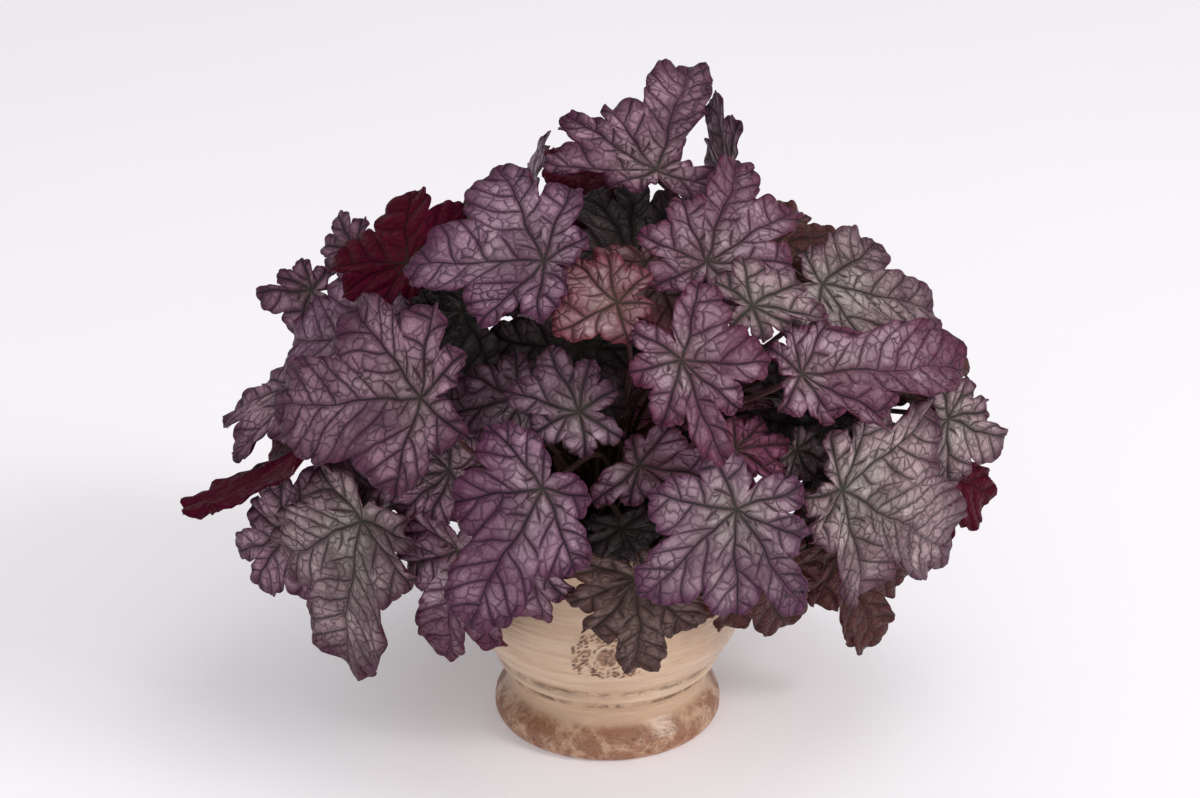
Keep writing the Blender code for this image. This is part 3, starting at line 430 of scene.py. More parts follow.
def outline_at(edge, u):
    """The blade's angle and radius at u, from -1 at a lobe's lower notch through 0 at its tip to 1."""
    low, middle, high, length, low_notch, high_notch = edge
    angle = middle + u * ((high - middle) if u > 0 else (middle - low))
    notch = high_notch if u > 0 else low_notch
    half_width = (high - middle) if u > 0 else (middle - low)
    roundness = min(MOST_ROUNDNESS, max(LEAST_ROUNDNESS, LOBE_ROUNDNESS / half_width))
    return angle, length - (length - notch) * abs(u) ** roundness


print("lobes in all:", sum(len(blade["lobes"]) for blade in blades))

# %% [markdown]
# The surface leaves the flat: it is pleated along the lobes, droops towards its edge, and waves. One
# formula gives that height to the plain blade's few points, one by one, and to the fine blade's many, all
# at once.

# %% The height of a blade
PLEAT_DEPTH = 0.085
PLEAT_SHARPNESS = 1.5
PLEAT_START = 1.4
WAVE_DEPTH = 0.028
WAVE_REACH = 1.2
WAVE_GROWTH = 2.5


def blade_height(blade, u, part, angle, radius):
    """How far the blade lies off its plane: pleats along the lobes, a droop, and waves at the edge."""
    length = blade["length"]
    reach = radius / length
    pleat = PLEAT_DEPTH * radius * (abs(u) ** PLEAT_SHARPNESS) * np.minimum(1.0, part * PLEAT_START)
    droop = -blade["droop"] * length * reach ** 2
    wave = sum(size * np.sin(k * angle + start) for k, size, start in blade["waves"])
    return pleat + droop + WAVE_DEPTH * length * wave * np.minimum(reach, WAVE_REACH) ** WAVE_GROWTH


def blade_point(blade, edge, u, part, tooth=0.0):
    """A point of the blade's middle surface, part of the way out from the stalk to the edge."""
    angle, radius = outline_at(edge, u)
    radius = radius * (1.0 - tooth) * part
    height = blade_height(blade, u, part, angle, radius)
    flat = blade["along"] * (radius * math.cos(angle)) + blade["across"] * (radius * math.sin(angle))
    return blade["base"] + flat + blade["normal"] * height


print("pleats as deep as", PLEAT_DEPTH, "of the radius")

# %% [markdown]
# For placing the leaves, a plain blade will do: a ring of points at the edge, one half way out, one near
# the stalk and a point in the middle, with triangles between them.

# %% The plain blade
# Each step of an edge is its u and how far a cut between two teeth goes in there.
LARGE_EDGE_STEPS = ((-1.0, 0.0), (-0.68, 0.0), (-0.34, 0.06), (0.0, 0.0), (0.34, 0.06), (0.68, 0.0))
SMALL_EDGE_STEPS = ((-1.0, 0.0), (-0.55, 0.0), (0.0, 0.0), (0.55, 0.0))
MIDDLE_STEPS = (-1.0, 0.0)
EDGE_PART, MIDDLE_PART, INNER_PART = 1.0, 0.56, 0.2
SMALL_BLADE = 62.0
DEEP_LAYER = 2


def edge_steps(blade):
    """A large blade's lobes have three teeth each at their edge, and a small one's have one."""
    large = blade["length"] > SMALL_BLADE and blade["layer"] < DEEP_LAYER
    return LARGE_EDGE_STEPS if large else SMALL_EDGE_STEPS


def blade_rings(blade):
    """The edge ring, the middle ring and the inner ring of the blade's middle surface."""
    edges = lobe_edges(blade["lobes"])
    edge_ring = [blade_point(blade, e, u, EDGE_PART, tooth) for e in edges for u, tooth in edge_steps(blade)]
    middle_ring = [blade_point(blade, e, u, MIDDLE_PART) for e in edges for u in MIDDLE_STEPS]
    inner_ring = [blade_point(blade, e, 0.0, INNER_PART) for e in edges]
    return edge_ring, middle_ring, inner_ring


def blade_faces(lobe_count, steps):
    """The upper side's triangles, over the edge, middle and inner rings and the middle point."""
    middle_start = steps * lobe_count
    inner_start = middle_start + 2 * lobe_count
    centre = inner_start + lobe_count
    faces = []
    for k in range(lobe_count):
        following = (k + 1) % lobe_count
        e = [steps * k + j for j in range(steps)] + [steps * following]
        m = [middle_start + 2 * k, middle_start + 2 * k + 1, middle_start + 2 * following]
        i, i_next = inner_start + k, inner_start + following
        faces += [(m[0], e[0], e[1]), (m[0], e[1], m[1])]
        faces += [(m[1], e[j], e[j + 1]) for j in range(1, steps - 1)]
        faces += [(m[1], e[-2], m[2]), (m[2], e[-2], e[-1])]
        faces += [(i, m[1], m[2]), (i, m[2], i_next), (i_next, m[2], m[2] + 1)]
        faces.append((centre, i, i_next))
    return faces


print("points round a large lobe's edge:", len(LARGE_EDGE_STEPS))

# %% [markdown]
# Pushed apart along its normals, the same surface gives an upper side and an underside, and a rim closes
# it. The normal of a point is the sum of those of the triangles that meet there.

# %% Both sides of the plain blade
BLADE_THICKNESS = 0.9


def surface_normals(points, faces):
    """The way out of the surface at each point."""
    normals = np.zeros_like(points)
    for a, b, c in faces:
        normal = np.cross(points[b] - points[a], points[c] - points[a])
        for k in (a, b, c):
            normals[k] += normal
    return normals / np.linalg.norm(normals, axis=1)[:, None]


def blade_mesh(blade, thickness):
    """The points of the blade's upper side and underside, and the upper side's faces."""
    edge_ring, middle_ring, inner_ring = blade_rings(blade)
    surface = np.array(edge_ring + middle_ring + inner_ring + [blade["base"]])
    top_faces = blade_faces(len(blade["lobes"]), len(edge_steps(blade)))
    normals = surface_normals(surface, top_faces)
    top = surface + normals * (thickness / 2)
    bottom = surface - normals * (thickness / 2)
    return top, bottom, top_faces


def rim_faces(blade, offset):
    """The narrow faces between the edges of the upper side and the underside."""
    count = len(blade["lobes"]) * len(edge_steps(blade))
    faces = []
    for k in range(count):
        following = (k + 1) % count
        faces.append((k, k + offset, following))
        faces.append((following, k + offset, following + offset))
    return faces


def closed_blade(blade, thickness):
    """The whole plain blade: upper side, underside and rim."""
    top, bottom, top_faces = blade_mesh(blade, thickness)
    offset = len(top)
    faces = list(top_faces)
    faces += [(c + offset, b + offset, a + offset) for a, b, c in top_faces]
    faces += rim_faces(blade, offset)
    return np.vstack([top, bottom]), faces


def tree_of(points, faces):
    return BVHTree.FromPolygons([tuple(p) for p in points], faces)


print("plain blade thickness", BLADE_THICKNESS, "mm")

# %% [markdown]
# ## The pot's profile
# The pot was thrown on a wheel, so one closed profile turned round the axis makes all of it: the foot, the
# hollow waist, the bead, the belly and the inside. The leaves have to stay clear of it too, so it comes
# first.

# %% The profile and the turned solid
FOOT_RADIUS = 60.0
WAIST_RADIUS = 51.5
BEAD_RADIUS = 59.0
BELLY_RADIUS = 72.0
RIM_RADIUS = 76.0
POT_HEIGHT = 122.0
WALL = 5.0
FLOOR_THICKNESS = 9.0
POT_SIDES = 32


def turned_faces(row_count, sides):
    """The faces of a closed profile turned round the axis, with this many rows between its two ends."""
    top = 1 + (row_count - 1) * sides
    last = top + sides
    faces = []
    for k in range(sides):
        following = (k + 1) % sides
        faces.append((0, 1 + following, 1 + k))
        for row in range(row_count - 1):
            low = 1 + row * sides
            high = low + sides
            faces.append((low + k, low + following, high + following, high + k))
        faces.append((top + k, top + following, last))
    return faces


def turned_solid(profile, sides):
    """Points and faces of a closed profile turned round the axis, which its first and last points lie on."""
    points = [(0.0, 0.0, profile[0][1])]
    for radius, height in profile[1:-1]:
        for k in range(sides):
            angle = 2 * math.pi * k / sides
            points.append((radius * math.cos(angle), radius * math.sin(angle), height))
    points.append((0.0, 0.0, profile[-1][1]))
    return points, turned_faces(len(profile) - 2, sides)


def pot_profile():
    """The profile's corners, from the middle of the underside up the outside and down the inside."""
    outer = [
        (0.0, 0.0),
        (FOOT_RADIUS - 3.5, 0.0),
        (FOOT_RADIUS - 0.4, 3.0),
        (FOOT_RADIUS - 0.6, 10.0),
        (FOOT_RADIUS - 4.0, 14.5),
        (WAIST_RADIUS, 22.0),
        (BEAD_RADIUS - 2.8, 32.5),
        (BEAD_RADIUS, 35.5),
        (BEAD_RADIUS - 1.4, 38.2),
        (BELLY_RADIUS - 8.0, 46.0),
        (BELLY_RADIUS - 2.2, 58.0),
        (BELLY_RADIUS, 76.0),
        (BELLY_RADIUS - 1.6, 108.0),
        (RIM_RADIUS - 0.6, 115.0),
        (RIM_RADIUS - 1.0, POT_HEIGHT),
    ]
    inside = [
        (RIM_RADIUS - 2.0 - WALL, POT_HEIGHT),
        (BELLY_RADIUS - 1.6 - WALL, 112.0),
        (BELLY_RADIUS - WALL, 76.0),
        (BELLY_RADIUS - 4.0 - WALL, 58.0),
        (WAIST_RADIUS - WALL, 24.0),
        (WAIST_RADIUS - WALL - 4.0, FLOOR_THICKNESS),
        (0.0, FLOOR_THICKNESS),
    ]
    return outer + inside


print("corners of the profile:", len(pot_profile()))

# %% [markdown]
# ## Leaves that keep clear of each other
# Real leaves slide past one another. Here each blade is set down in turn, front ones first. One that would
# cut another is moved along its line of sight, then leaned, then made a little smaller, until it is clear.
# Each takes some room with it: air round the blade, and a short thick rod where its stalk will start.

# %% Room round a blade
BLADE_CLEARANCE = 1.3
FIRST_STALK_DROP = 4.0
STALK_ROOM_START = 2.0
STALK_ROOM_LENGTH = 14.0
STALK_ROOM_RADIUS = 3.2
UNDER_PART, BACK_PART, DOWN_PART = 0.8, 0.35, 0.35


def blade_with_room(blade):
    """The blade with some room round it and a short thick rod where its stalk starts, for placing it by."""
    points, faces = closed_blade(blade, BLADE_CLEARANCE + BLADE_THICKNESS)
    under = -blade["normal"]
    onward = under * UNDER_PART - blade["along"] * BACK_PART + np.array([0.0, 0.0, -DOWN_PART])
    onward = onward / np.linalg.norm(onward)
    rod = [blade["base"] + under * STALK_ROOM_START, blade["base"] + under * FIRST_STALK_DROP]
    rod.append(rod[1] + onward * STALK_ROOM_LENGTH)
    first = len(points)
    corners = []
    for middle in rod:
        corners += [middle + side * STALK_ROOM_RADIUS for side in
                    (blade["along"], blade["across"], -blade["along"], -blade["across"])]
    for row in range(len(rod) - 1):
        low = first + 4 * row
        faces += [(low + k, low + (k + 1) % 4, low + 4 + (k + 1) % 4, low + 4 + k) for k in range(4)]
    return np.vstack([points, corners]), faces


print("room round a blade:", BLADE_CLEARANCE / 2, "mm on each side")

# %% [markdown]
# A tree of boxes round the faces, a BVH, finds quickly whether two blades meet. Each blade tries its own
# place first and then others farther and farther off, and it keeps the first that meets nothing, or else
# the one that meets least.

# %% Place the blades
PLACING_STEPS = (0, 3, -3, 6, -6, 9, 12, -9, 15, -12, 18, 21, -15, 24, 28, 32, -18, 36)
PLACING_TURNS = (0, 14, -14, 26, -26, 38, -38)
PLACING_SIZES = (1.0, 0.9, 0.8, 0.7)
PLACING_TRIALS = [(size, turn, step) for size in PLACING_SIZES for turn in PLACING_TURNS
                  for step in PLACING_STEPS]


def blade_ways(blade):
    """The way in which a blade may be moved: along its line of sight or, round the back, towards the axis."""
    if blade["layer"] == BACK_LAYER:
        radial = np.array([blade["base"][0], blade["base"][1], 0.0])
        return -radial / np.linalg.norm(radial)
    away = blade["base"] - np.array(EYE)
    return away / np.linalg.norm(away)


def place_blades(blades, obstacles):
    """Puts the blades in place, front ones first. One that meets another is moved until it's clear."""
    eye = np.array(EYE)
    placed = []
    order = sorted(blades, key=lambda b: (b["layer"], float(np.linalg.norm(b["base"] - eye))))
    for blade in order:
        start, normal, way = blade["base"].copy(), blade["normal"].copy(), blade_ways(blade)
        lobes, length = blade["lobes"], blade["length"]
        fewest = None
        for size, turn, step in PLACING_TRIALS:
            blade["lobes"] = [(angle, reach * size) for angle, reach in lobes]
            blade["length"] = length * size
            blade["base"] = start + way * float(step)
            lean = math.radians(turn)
            blade["normal"] = normal * math.cos(lean) + np.cross(blade["along"], normal) * math.sin(lean)
            blade["across"] = np.cross(blade["normal"], blade["along"])
            tree = tree_of(*blade_with_room(blade))
            meetings = sum(len(tree.overlap(other)) for other in placed + obstacles)
            if fewest is None or meetings < fewest:
                fewest = meetings
                best = {key: blade[key] for key in ("base", "normal", "across", "lobes", "length")}
                best_tree = tree
                blade["moved"] = (meetings, size, turn, step)
            if meetings == 0:
                break
        blade.update(best)
        placed.append(best_tree)
    return order


blades = place_blades(blades, [tree_of(*turned_solid(pot_profile(), POT_SIDES))])
print("blades moved:", sum(any(blade["moved"][2:]) for blade in blades))

# %% [markdown]
# ## A way for every stalk
# The stalks stand in rings of holes in the potting mix, the highest leaves in the middle. A ring's holes
# and its leaves are both sorted by bearing, and the leaves are then dealt out from the hole where their
# bearings fit best.

# %% The holes and the sharing out
SOIL_EDGE_HEIGHT = 108.0
SOIL_TOP_HEIGHT = 117.0
# Each ring is its radius, its number of holes and how far a stalk in it rises straight.
SEAT_RINGS = ((6.0, 5, 30.0), (13.0, 11, 24.0), (20.5, 17, 17.0), (28.5, 25, 10.0))


def soil_height(radius):
    """How high the mix lies: a shallow dome, highest in the middle."""
    return SOIL_TOP_HEIGHT - (SOIL_TOP_HEIGHT - SOIL_EDGE_HEIGHT) * (radius / (BELLY_RADIUS - WALL)) ** 2


def seats():
    """Where stalks stand in the soil and where their straight rise ends: rings of holes, innermost first."""
    result = []
    for radius, count, rise in SEAT_RINGS:
        for k in range(count):
            angle = 2 * math.pi * k / count
            seat = np.array([radius * math.cos(angle), radius * math.sin(angle), soil_height(radius)])
            result.append((seat, seat + np.array([0.0, 0.0, rise])))
    return result


def bearing(place):
    """The angle round the pot's axis at which a place lies."""
    return math.atan2(float(place[1]), float(place[0]))


def share_seats(blades):
    """Gives the highest leaves the innermost seats, going round each ring in the same order as its leaves."""
    places = seats()
    by_height = sorted(blades, key=lambda b: -float(b["base"][2]))
    start = 0
    for _, count, _ in SEAT_RINGS:
        group = sorted(by_height[start:start + count], key=lambda b: bearing(b["base"]))
        ring = sorted(places[start:start + count], key=lambda place: bearing(place[0]))
        start += count
        shifts = range(len(ring))
        best = min(shifts, key=lambda shift: ring_strain(group, ring, shift))
        for k, blade in enumerate(group):
            blade["seat"], blade["riser"] = ring[ring_place(k, len(group), len(ring), best)]


def ring_place(k, leaf_count, seat_count, shift):
    """The seat in its ring that the leaf of this number gets."""
    return (k * seat_count // max(1, leaf_count) + shift) % seat_count


def ring_strain(group, ring, shift):
    """How far the leaves' bearings are from their seats', in all."""
    total = 0.0
    for k, blade in enumerate(group):
        seat = ring[ring_place(k, len(group), len(ring), shift)][0]
        total += math.remainder(bearing(blade["base"]) - bearing(seat), 2 * math.pi) ** 2
    return total


share_seats(blades)
print("holes:", len(seats()))

# %% [markdown]
# Each stalk rises a little and then bends over to its blade. Its path is a smooth cubic curve: two ends
# that stay, and two loose handles between them that can be shaken to try another way.

# %% A stalk's curve
STALK_STEPS = 4
STALK_SAMPLING = 3.5
MOST_BEND = 0.15
MOST_DIP = 3.0
LOW_HANDLE_PART = 0.30
HIGH_HANDLE_PART = 0.3
HIGH_UNDER_PART, HIGH_BACK_PART, HIGH_DOWN_PART = 0.55, 0.3, 0.35


def curve_points(ends, count):
    """Points along a cubic curve from its four control points."""
    a, b, c, d = ends
    result = []
    for k in range(count + 1):
        t = k / count
        s = 1.0 - t
        result.append(a * s ** 3 + b * 3 * s * s * t + c * 3 * s * t * t + d * t ** 3)
    return result


def fine_steps(path):
    """Points along a path of straight steps, no further apart than the sampling distance."""
    result = []
    for start, end in zip(path, path[1:]):
        count = max(1, math.ceil(float(np.linalg.norm(end - start)) / STALK_SAMPLING))
        result += [start + (end - start) * k / count for k in range(count)]
    return np.array(result + [path[-1]])


def first_route(blade):
    """The stalk's plain path from the end of its rise to the blade, as a cubic curve's control points."""
    under = -blade["normal"]
    top = blade["base"] + under * FIRST_STALK_DROP
    start = blade["riser"]
    span = float(np.linalg.norm(top - start))
    low = start + np.array([0.0, 0.0, LOW_HANDLE_PART * span])
    way = under * HIGH_UNDER_PART - blade["along"] * HIGH_BACK_PART + np.array([0.0, 0.0, -HIGH_DOWN_PART])
    high = top + way * span * HIGH_HANDLE_PART
    return [start, low, high, top]


def bent(route, rng, amount):
    """The route with its two middle control points moved at random."""
    start, low, high, top = route
    low = low + np.array([rng.uniform(-amount, amount) for _ in range(3)])
    high = high + np.array([rng.uniform(-amount, amount) for _ in range(3)])
    return [start, low, high, top]


def too_bent(blade, path):
    """Whether the path turns too sharply anywhere, or dips down to the soil."""
    whole = [blade["seat"], *path, blade["base"]]
    ways = [(b - a) / np.linalg.norm(b - a) for a, b in zip(whole, whole[1:])]
    dips = any(point[2] < blade["riser"][2] - MOST_DIP for point in path)
    return dips or any(a @ b < MOST_BEND for a, b in zip(ways, ways[1:]))


plain_lengths = [float(np.linalg.norm(blade["base"] - blade["seat"])) for blade in blades]
print("from hole to blade:", round(min(plain_lengths)), "to", round(max(plain_lengths)), "mm")

# %% [markdown]
# Two things can be in a stalk's way. A ray along each piece of its path finds the blades that it would
# pierce, and the nearest face to each point tells those it would nearly touch. The other stalks are kept as
# points in a tree that finds the nearest one quickly.

# %% What is in a stalk's way
STALK_CLEARANCE = 2.0
STALK_SPACING = 3.8
POINTS_BY_BLADE = 3
CLEARANCE_BY_BLADE = 0.8


def stalk_points(blade):
    """Points along the whole of a stalk above the soil. One with no route yet has only its straight rise."""
    path = [blade["seat"], blade["riser"]]
    if "route" in blade:
        path += curve_points(blade["route"], STALK_STEPS)[1:]
    return fine_steps(path)


def tree_of_stalks(blades):
    points = np.vstack([stalk_points(blade) for blade in blades])
    tree = KDTree(len(points))
    for k, point in enumerate(points):
        tree.insert(Vector(point), k)
    tree.balance()
    return tree


def count_meetings(path, blades_tree, stalks_tree, most):
    """How often a stalk's path crosses or nearly touches a blade, the pot or another stalk, up to most."""
    meetings = 0
    for start, end in zip(path[:-2], path[1:-1]):
        step = Vector(end - start)
        meetings += 2 * (blades_tree.ray_cast(Vector(start), step.normalized(), step.length)[0] is not None)
    points = [Vector(point) for point in fine_steps(path)[:-1]]
    for k, point in enumerate(points):
        if meetings >= most:
            break
        meetings += stalks_tree.find(point)[2] < STALK_SPACING
        by_blade = k >= len(points) - POINTS_BY_BLADE
        reach = STALK_CLEARANCE * CLEARANCE_BY_BLADE if by_blade else STALK_CLEARANCE
        meetings += blades_tree.find_nearest(point, reach)[0] is not None
        if k:
            step = point - points[k - 1]
            meetings += blades_tree.ray_cast(points[k - 1], step.normalized(), step.length)[0] is not None
    return meetings


print("stalks stay", STALK_SPACING, "mm apart")

# %% [markdown]
# The handles of a path are shaken, with a fixed seed, until the stalk touches neither a blade nor another
# stalk: first ever wider, then by small changes to the best path so far. A stalk's new path can block
# another's, so all of them are looked at again in a few rounds.

# %% Find the paths
STALK_TRIALS = 260
WIDE_TRIALS = 90
WIDEST_SHAKE_PART = 0.55
SMALL_SHAKES = (4.0, 10.0, 22.0)
ROUTING_ROUNDS = 7
MANY = 1000


def find_route(blade, blades_tree, stalks_tree, turn):
    """Tries paths for one stalk, first ever wider ones, then small changes to the best one."""
    rng = random.Random(f"stalk of {blade['name']}, round {turn}")
    plain = first_route(blade)
    span = float(np.linalg.norm(plain[3] - plain[0]))
    blade["route"] = plain
    fewest = MANY
    for trial in range(STALK_TRIALS):
        if trial < WIDE_TRIALS:
            route = bent(plain, rng, span * WIDEST_SHAKE_PART * trial / WIDE_TRIALS)
        else:
            route = bent(blade["route"], rng, rng.choice(SMALL_SHAKES))
        path = curve_points(route, STALK_STEPS)
        if trial and too_bent(blade, path):
            continue
        meetings = count_meetings(path, blades_tree, stalks_tree, fewest + 1)
        if meetings <= fewest:
            fewest = meetings
            blade["route"] = route
        if meetings == 0:
            break
    blade["meetings"] = fewest


def route_stalks(blades):
    """Finds each stalk a way to its blade that stays clear of every blade and every other stalk.

    After the first round, only those that still meet something look for a new way.
    """
    pot_points, pot_faces = turned_solid(pot_profile(), POT_SIDES)
    all_points, all_faces = list(pot_points), list(pot_faces)
    for blade in blades:
        points, faces = closed_blade(blade, BLADE_THICKNESS)
        all_faces += [tuple(i + len(all_points) for i in face) for face in faces]
        all_points += [tuple(p) for p in points]
    blades_tree = tree_of(all_points, all_faces)
    order = sorted(blades, key=lambda b: float(np.linalg.norm(b["base"] - b["seat"])))
    for turn in range(ROUTING_ROUNDS):
        clashing = []
        for blade in order:
            stalks_tree = tree_of_stalks([other for other in blades if other is not blade])
            if "route" in blade:
                path = curve_points(blade["route"], STALK_STEPS)
                blade["meetings"] = count_meetings(path, blades_tree, stalks_tree, MANY)
            if blade.get("meetings", 1) and turn < ROUTING_ROUNDS - 1:
                find_route(blade, blades_tree, stalks_tree, turn)
            if blade["meetings"]:
                clashing.append(blade)
        if not clashing:
            break
    return clashing


clashing = route_stalks(blades)
print("stalks with no clear way:", len(clashing))

# %% [markdown]
# ## Mixing paint from nodes
# A leaf's colour comes from many small recipes: a line where a vein runs, a blush near the edge, a silvery
# sheen between. A short helper adds one node, sets its values and joins what feeds it, so that each recipe
# below reads like a sentence. In a recipe, the two numbers after a value say where a mark starts and where
# it has its full strength.

# %% Node helpers
def add_node(tree, kind, settings=(), **feeds):
    """Adds a node. Settings go on the node, and feeds into its inputs by name or, as i0, by number."""
    node = tree.nodes.new("ShaderNode" + kind)
    for key, value in dict(settings).items():
        setattr(node, key, value)
    for key, value in feeds.items():
        socket = node.inputs[int(key[1:])] if key[0] == "i" and key[1:].isdigit() else node.inputs[key]
        if isinstance(value, bpy.types.NodeSocket):
            tree.links.new(value, socket)
        else:
            socket.default_value = value
    return node


def calc(tree, operation, a, b=0.0, c=0.0):
    return add_node(tree, "Math", {"operation": operation}, i0=a, i1=b, i2=c).outputs[0]


def times(tree, a, b):
    return calc(tree, "MULTIPLY", a, b)


def larger(tree, a, b):
    return calc(tree, "MAXIMUM", a, b)


def between(tree, value, low, high, low_result=0.0, high_result=1.0):
    """Goes smoothly from the low result to the high one as the value goes from low to high."""
    node = add_node(tree, "MapRange", {"interpolation_type": "SMOOTHSTEP"}, i0=value, i1=low, i2=high,
                    i3=low_result, i4=high_result)
    return node.outputs[0]


def blended(tree, part, first, second):
    """The first colour, and by this part the second one."""
    node = add_node(tree, "Mix", {"data_type": "RGBA"}, i0=part)
    for socket, value in ((node.inputs[6], first), (node.inputs[7], second)):
        if isinstance(value, bpy.types.NodeSocket):
            tree.links.new(value, socket)
        else:
            socket.default_value = (*value, 1.0)
    return node.outputs[2]


def noise(tree, place, scale, detail=3.0, roughness=0.55, warp=0.0):
    """Cloudy grey noise about 0.5, finer as the scale grows."""
    return add_node(tree, "TexNoise", (), Vector=place, Scale=scale, Detail=detail, Roughness=roughness,
                    Distortion=warp).outputs["Fac"]


def stretched(tree, place, height_scale):
    """The place with its height scaled: under 1 makes marks tall, and over 1 makes them flat."""
    return add_node(tree, "Mapping", (), Vector=place, Scale=(1.0, 1.0, height_scale)).outputs[0]


print("node helpers ready")

# %% [markdown]
# Every finish here is made of the same few parts: a colour, a roughness, and a height that the light sees
# as fine bumps. So one helper starts a material and another joins those parts to its shader. Colours are
# written as they look on a screen, 0 to 255, and made linear for the renderer.

# %% Helpers for a whole finish
def new_material(name):
    """A material and its nodes, the shader still to be fed, and the place on the object."""
    material = bpy.data.materials.new(name)
    material.use_nodes = True
    tree = material.node_tree
    place = add_node(tree, "TexCoord").outputs["Object"]
    return material, tree, tree.nodes["Principled BSDF"], place


def height_of(tree, place):
    return add_node(tree, "SeparateXYZ", (), i0=place).outputs[2]


def feed_shader(tree, shader, colour, roughness, height, strength, depth):
    """Joins the colour and the roughness to the shader, and a height as fine bumps, up to depth in metres."""
    tree.links.new(colour, shader.inputs["Base Color"])
    tree.links.new(roughness, shader.inputs["Roughness"])
    bump = add_node(tree, "Bump", (), Strength=strength, Distance=depth, Height=height)
    tree.links.new(bump.outputs[0], shader.inputs["Normal"])


def from_srgb(red, green, blue):
    """A colour written as a picture's 0 to 255 values, made linear."""
    return tuple((c / 255 / 12.92) if c < 11 else ((c / 255 + 0.055) / 1.055) ** 2.4
                 for c in (red, green, blue))


print("mid grey is", round(from_srgb(128, 128, 128)[0], 3), "when made linear")

# %% [markdown]
# ## The leaf's finish
# On the real leaf, dark green-black veins run from the stalk's end along each lobe, side veins leave them
# like a herringbone, and a fine net joins those. Between the veins lies a silvery film over purple. It is
# thick in the middle and thin at the edge, which stays plain purple. The leaves aren't all alike, so there
# are twelve kinds, from silver to burgundy, that share one recipe and differ in their colours. The kind
# called shade is painted shade: its dark colours stand for the shade that falls on leaves deep in the mound.

# %% The colours of each kind of leaf
# Each kind: its silvery film, its flesh, its edge, its veins, its underside, and how much film shows.
LEAF_COLOURS = {
    "mauve": ((172, 140, 150), (88, 45, 67), (80, 30, 60), (32, 21, 25), (82, 16, 41), 0.84),
    "lavender": ((168, 140, 153), (93, 49, 75), (84, 30, 65), (31, 19, 28), (84, 16, 45), 0.82),
    "pink": ((174, 150, 159), (103, 54, 76), (92, 29, 60), (33, 18, 25), (86, 16, 39), 0.80),
    "magenta": ((168, 116, 138), (112, 50, 74), (86, 16, 46), (32, 12, 20), (78, 11, 34), 0.48),
    "salmon": ((170, 146, 148), (120, 62, 66), (116, 42, 54), (40, 22, 24), (89, 18, 34), 0.68),
    "silver": ((172, 154, 152), (90, 64, 72), (86, 40, 63), (29, 29, 26), (82, 21, 43), 0.94),
    "silver_pink": ((162, 142, 146), (90, 54, 73), (88, 31, 72), (29, 25, 28), (84, 18, 45), 0.90),
    "brown_silver": ((126, 105, 94), (68, 40, 34), (70, 34, 31), (27, 21, 18), (82, 36, 30), 0.78),
    "brown": ((104, 66, 60), (76, 32, 28), (78, 27, 26), (32, 17, 15), (99, 41, 36), 0.42),
    "dusky": ((166, 144, 152), (80, 48, 62), (68, 26, 49), (25, 17, 22), (66, 14, 32), 0.80),
    # The shade kind is painted shade: dark colours for the leaves deep inside the mound, where shade falls.
    "shade": ((99, 89, 87), (43, 30, 31), (47, 21, 31), (18, 15, 15), (45, 14, 23), 0.72),
    "burgundy": ((96, 8, 44), (80, 1, 30), (74, 1, 28), (42, 0, 16), (78, 2, 32), 0.14),
}
print("kinds of leaf:", len(LEAF_COLOURS))

# %% [markdown]
# Each corner of a fine blade carries two maps: `lobe`, how far it lies beside and along its lobe's main
# vein in cm, and `blade`, how near it is to the edge and which side it is on. A side vein is a curve on the
# first map, so it stays crisp at any size. The map is bent first by slow waves, with a seed of the lobe's
# own, so that no two veins run alike. The skin is quilted by the same formula as the paint, so both agree.

# %% Where the side veins run
VEIN_SPACING = 1.35
VEIN_LEAN = 0.72
VEIN_BEND = 0.07
SLOW_SWAY, QUICK_SWAY = 0.10, 0.04
LONG_SWAY, SHORT_SWAY = 0.20, 0.08
SWAY_START = 1.5


def swayed(beside, along, seed):
    """The place beside and along a main vein, bent a little, so that no two veins run alike."""
    start = seed * 12.0
    from_stalk = np.clip(along / SWAY_START, 0.0, 1.0)
    aside = SLOW_SWAY * np.sin(1.15 * along + start) + QUICK_SWAY * np.sin(2.9 * along - start)
    long_bend = LONG_SWAY * np.sin(0.9 * along + 1.7 * beside + start)
    short_bend = SHORT_SWAY * np.sin(2.3 * beside - start)
    return beside + from_stalk * aside, along + long_bend + short_bend


def side_vein_distance(beside, along):
    """How far a place is from the nearest side vein, as a part of their spacing: 0 on one, 0.5 in between."""
    away = np.abs(beside)
    turns = (along - VEIN_LEAN * away - VEIN_BEND * away ** 2) / VEIN_SPACING + 0.5 * (beside > 0)
    return 0.5 - np.abs(turns % 1.0 - 0.5)


print("side veins every", VEIN_SPACING, "cm")

# %% [markdown]
# The paint has the veins in three sizes. The main and the side veins come from the map, and grow thinner
# outwards. The fine net between them is the edges of random cells, a Voronoi pattern, in a coarse and a
# finer size. The coarse net fades in and out from place to place, as it does on a real leaf.

# %% The veins as paint
VEIN_SOFTNESS = (0.4, 1.7)
MAIN_WIDTH_AT_STALK, MAIN_WIDTH_AT_TIP = 0.068, 0.018
SIDE_WIDTH_AT_MIDDLE, SIDE_WIDTH_AT_EDGE = 0.036, 0.015
NET_SCALE = 150.0
FINE_NET_SCALE = 420.0
NET_SHAKE = 0.006
PAINT_SWAY = 0.16


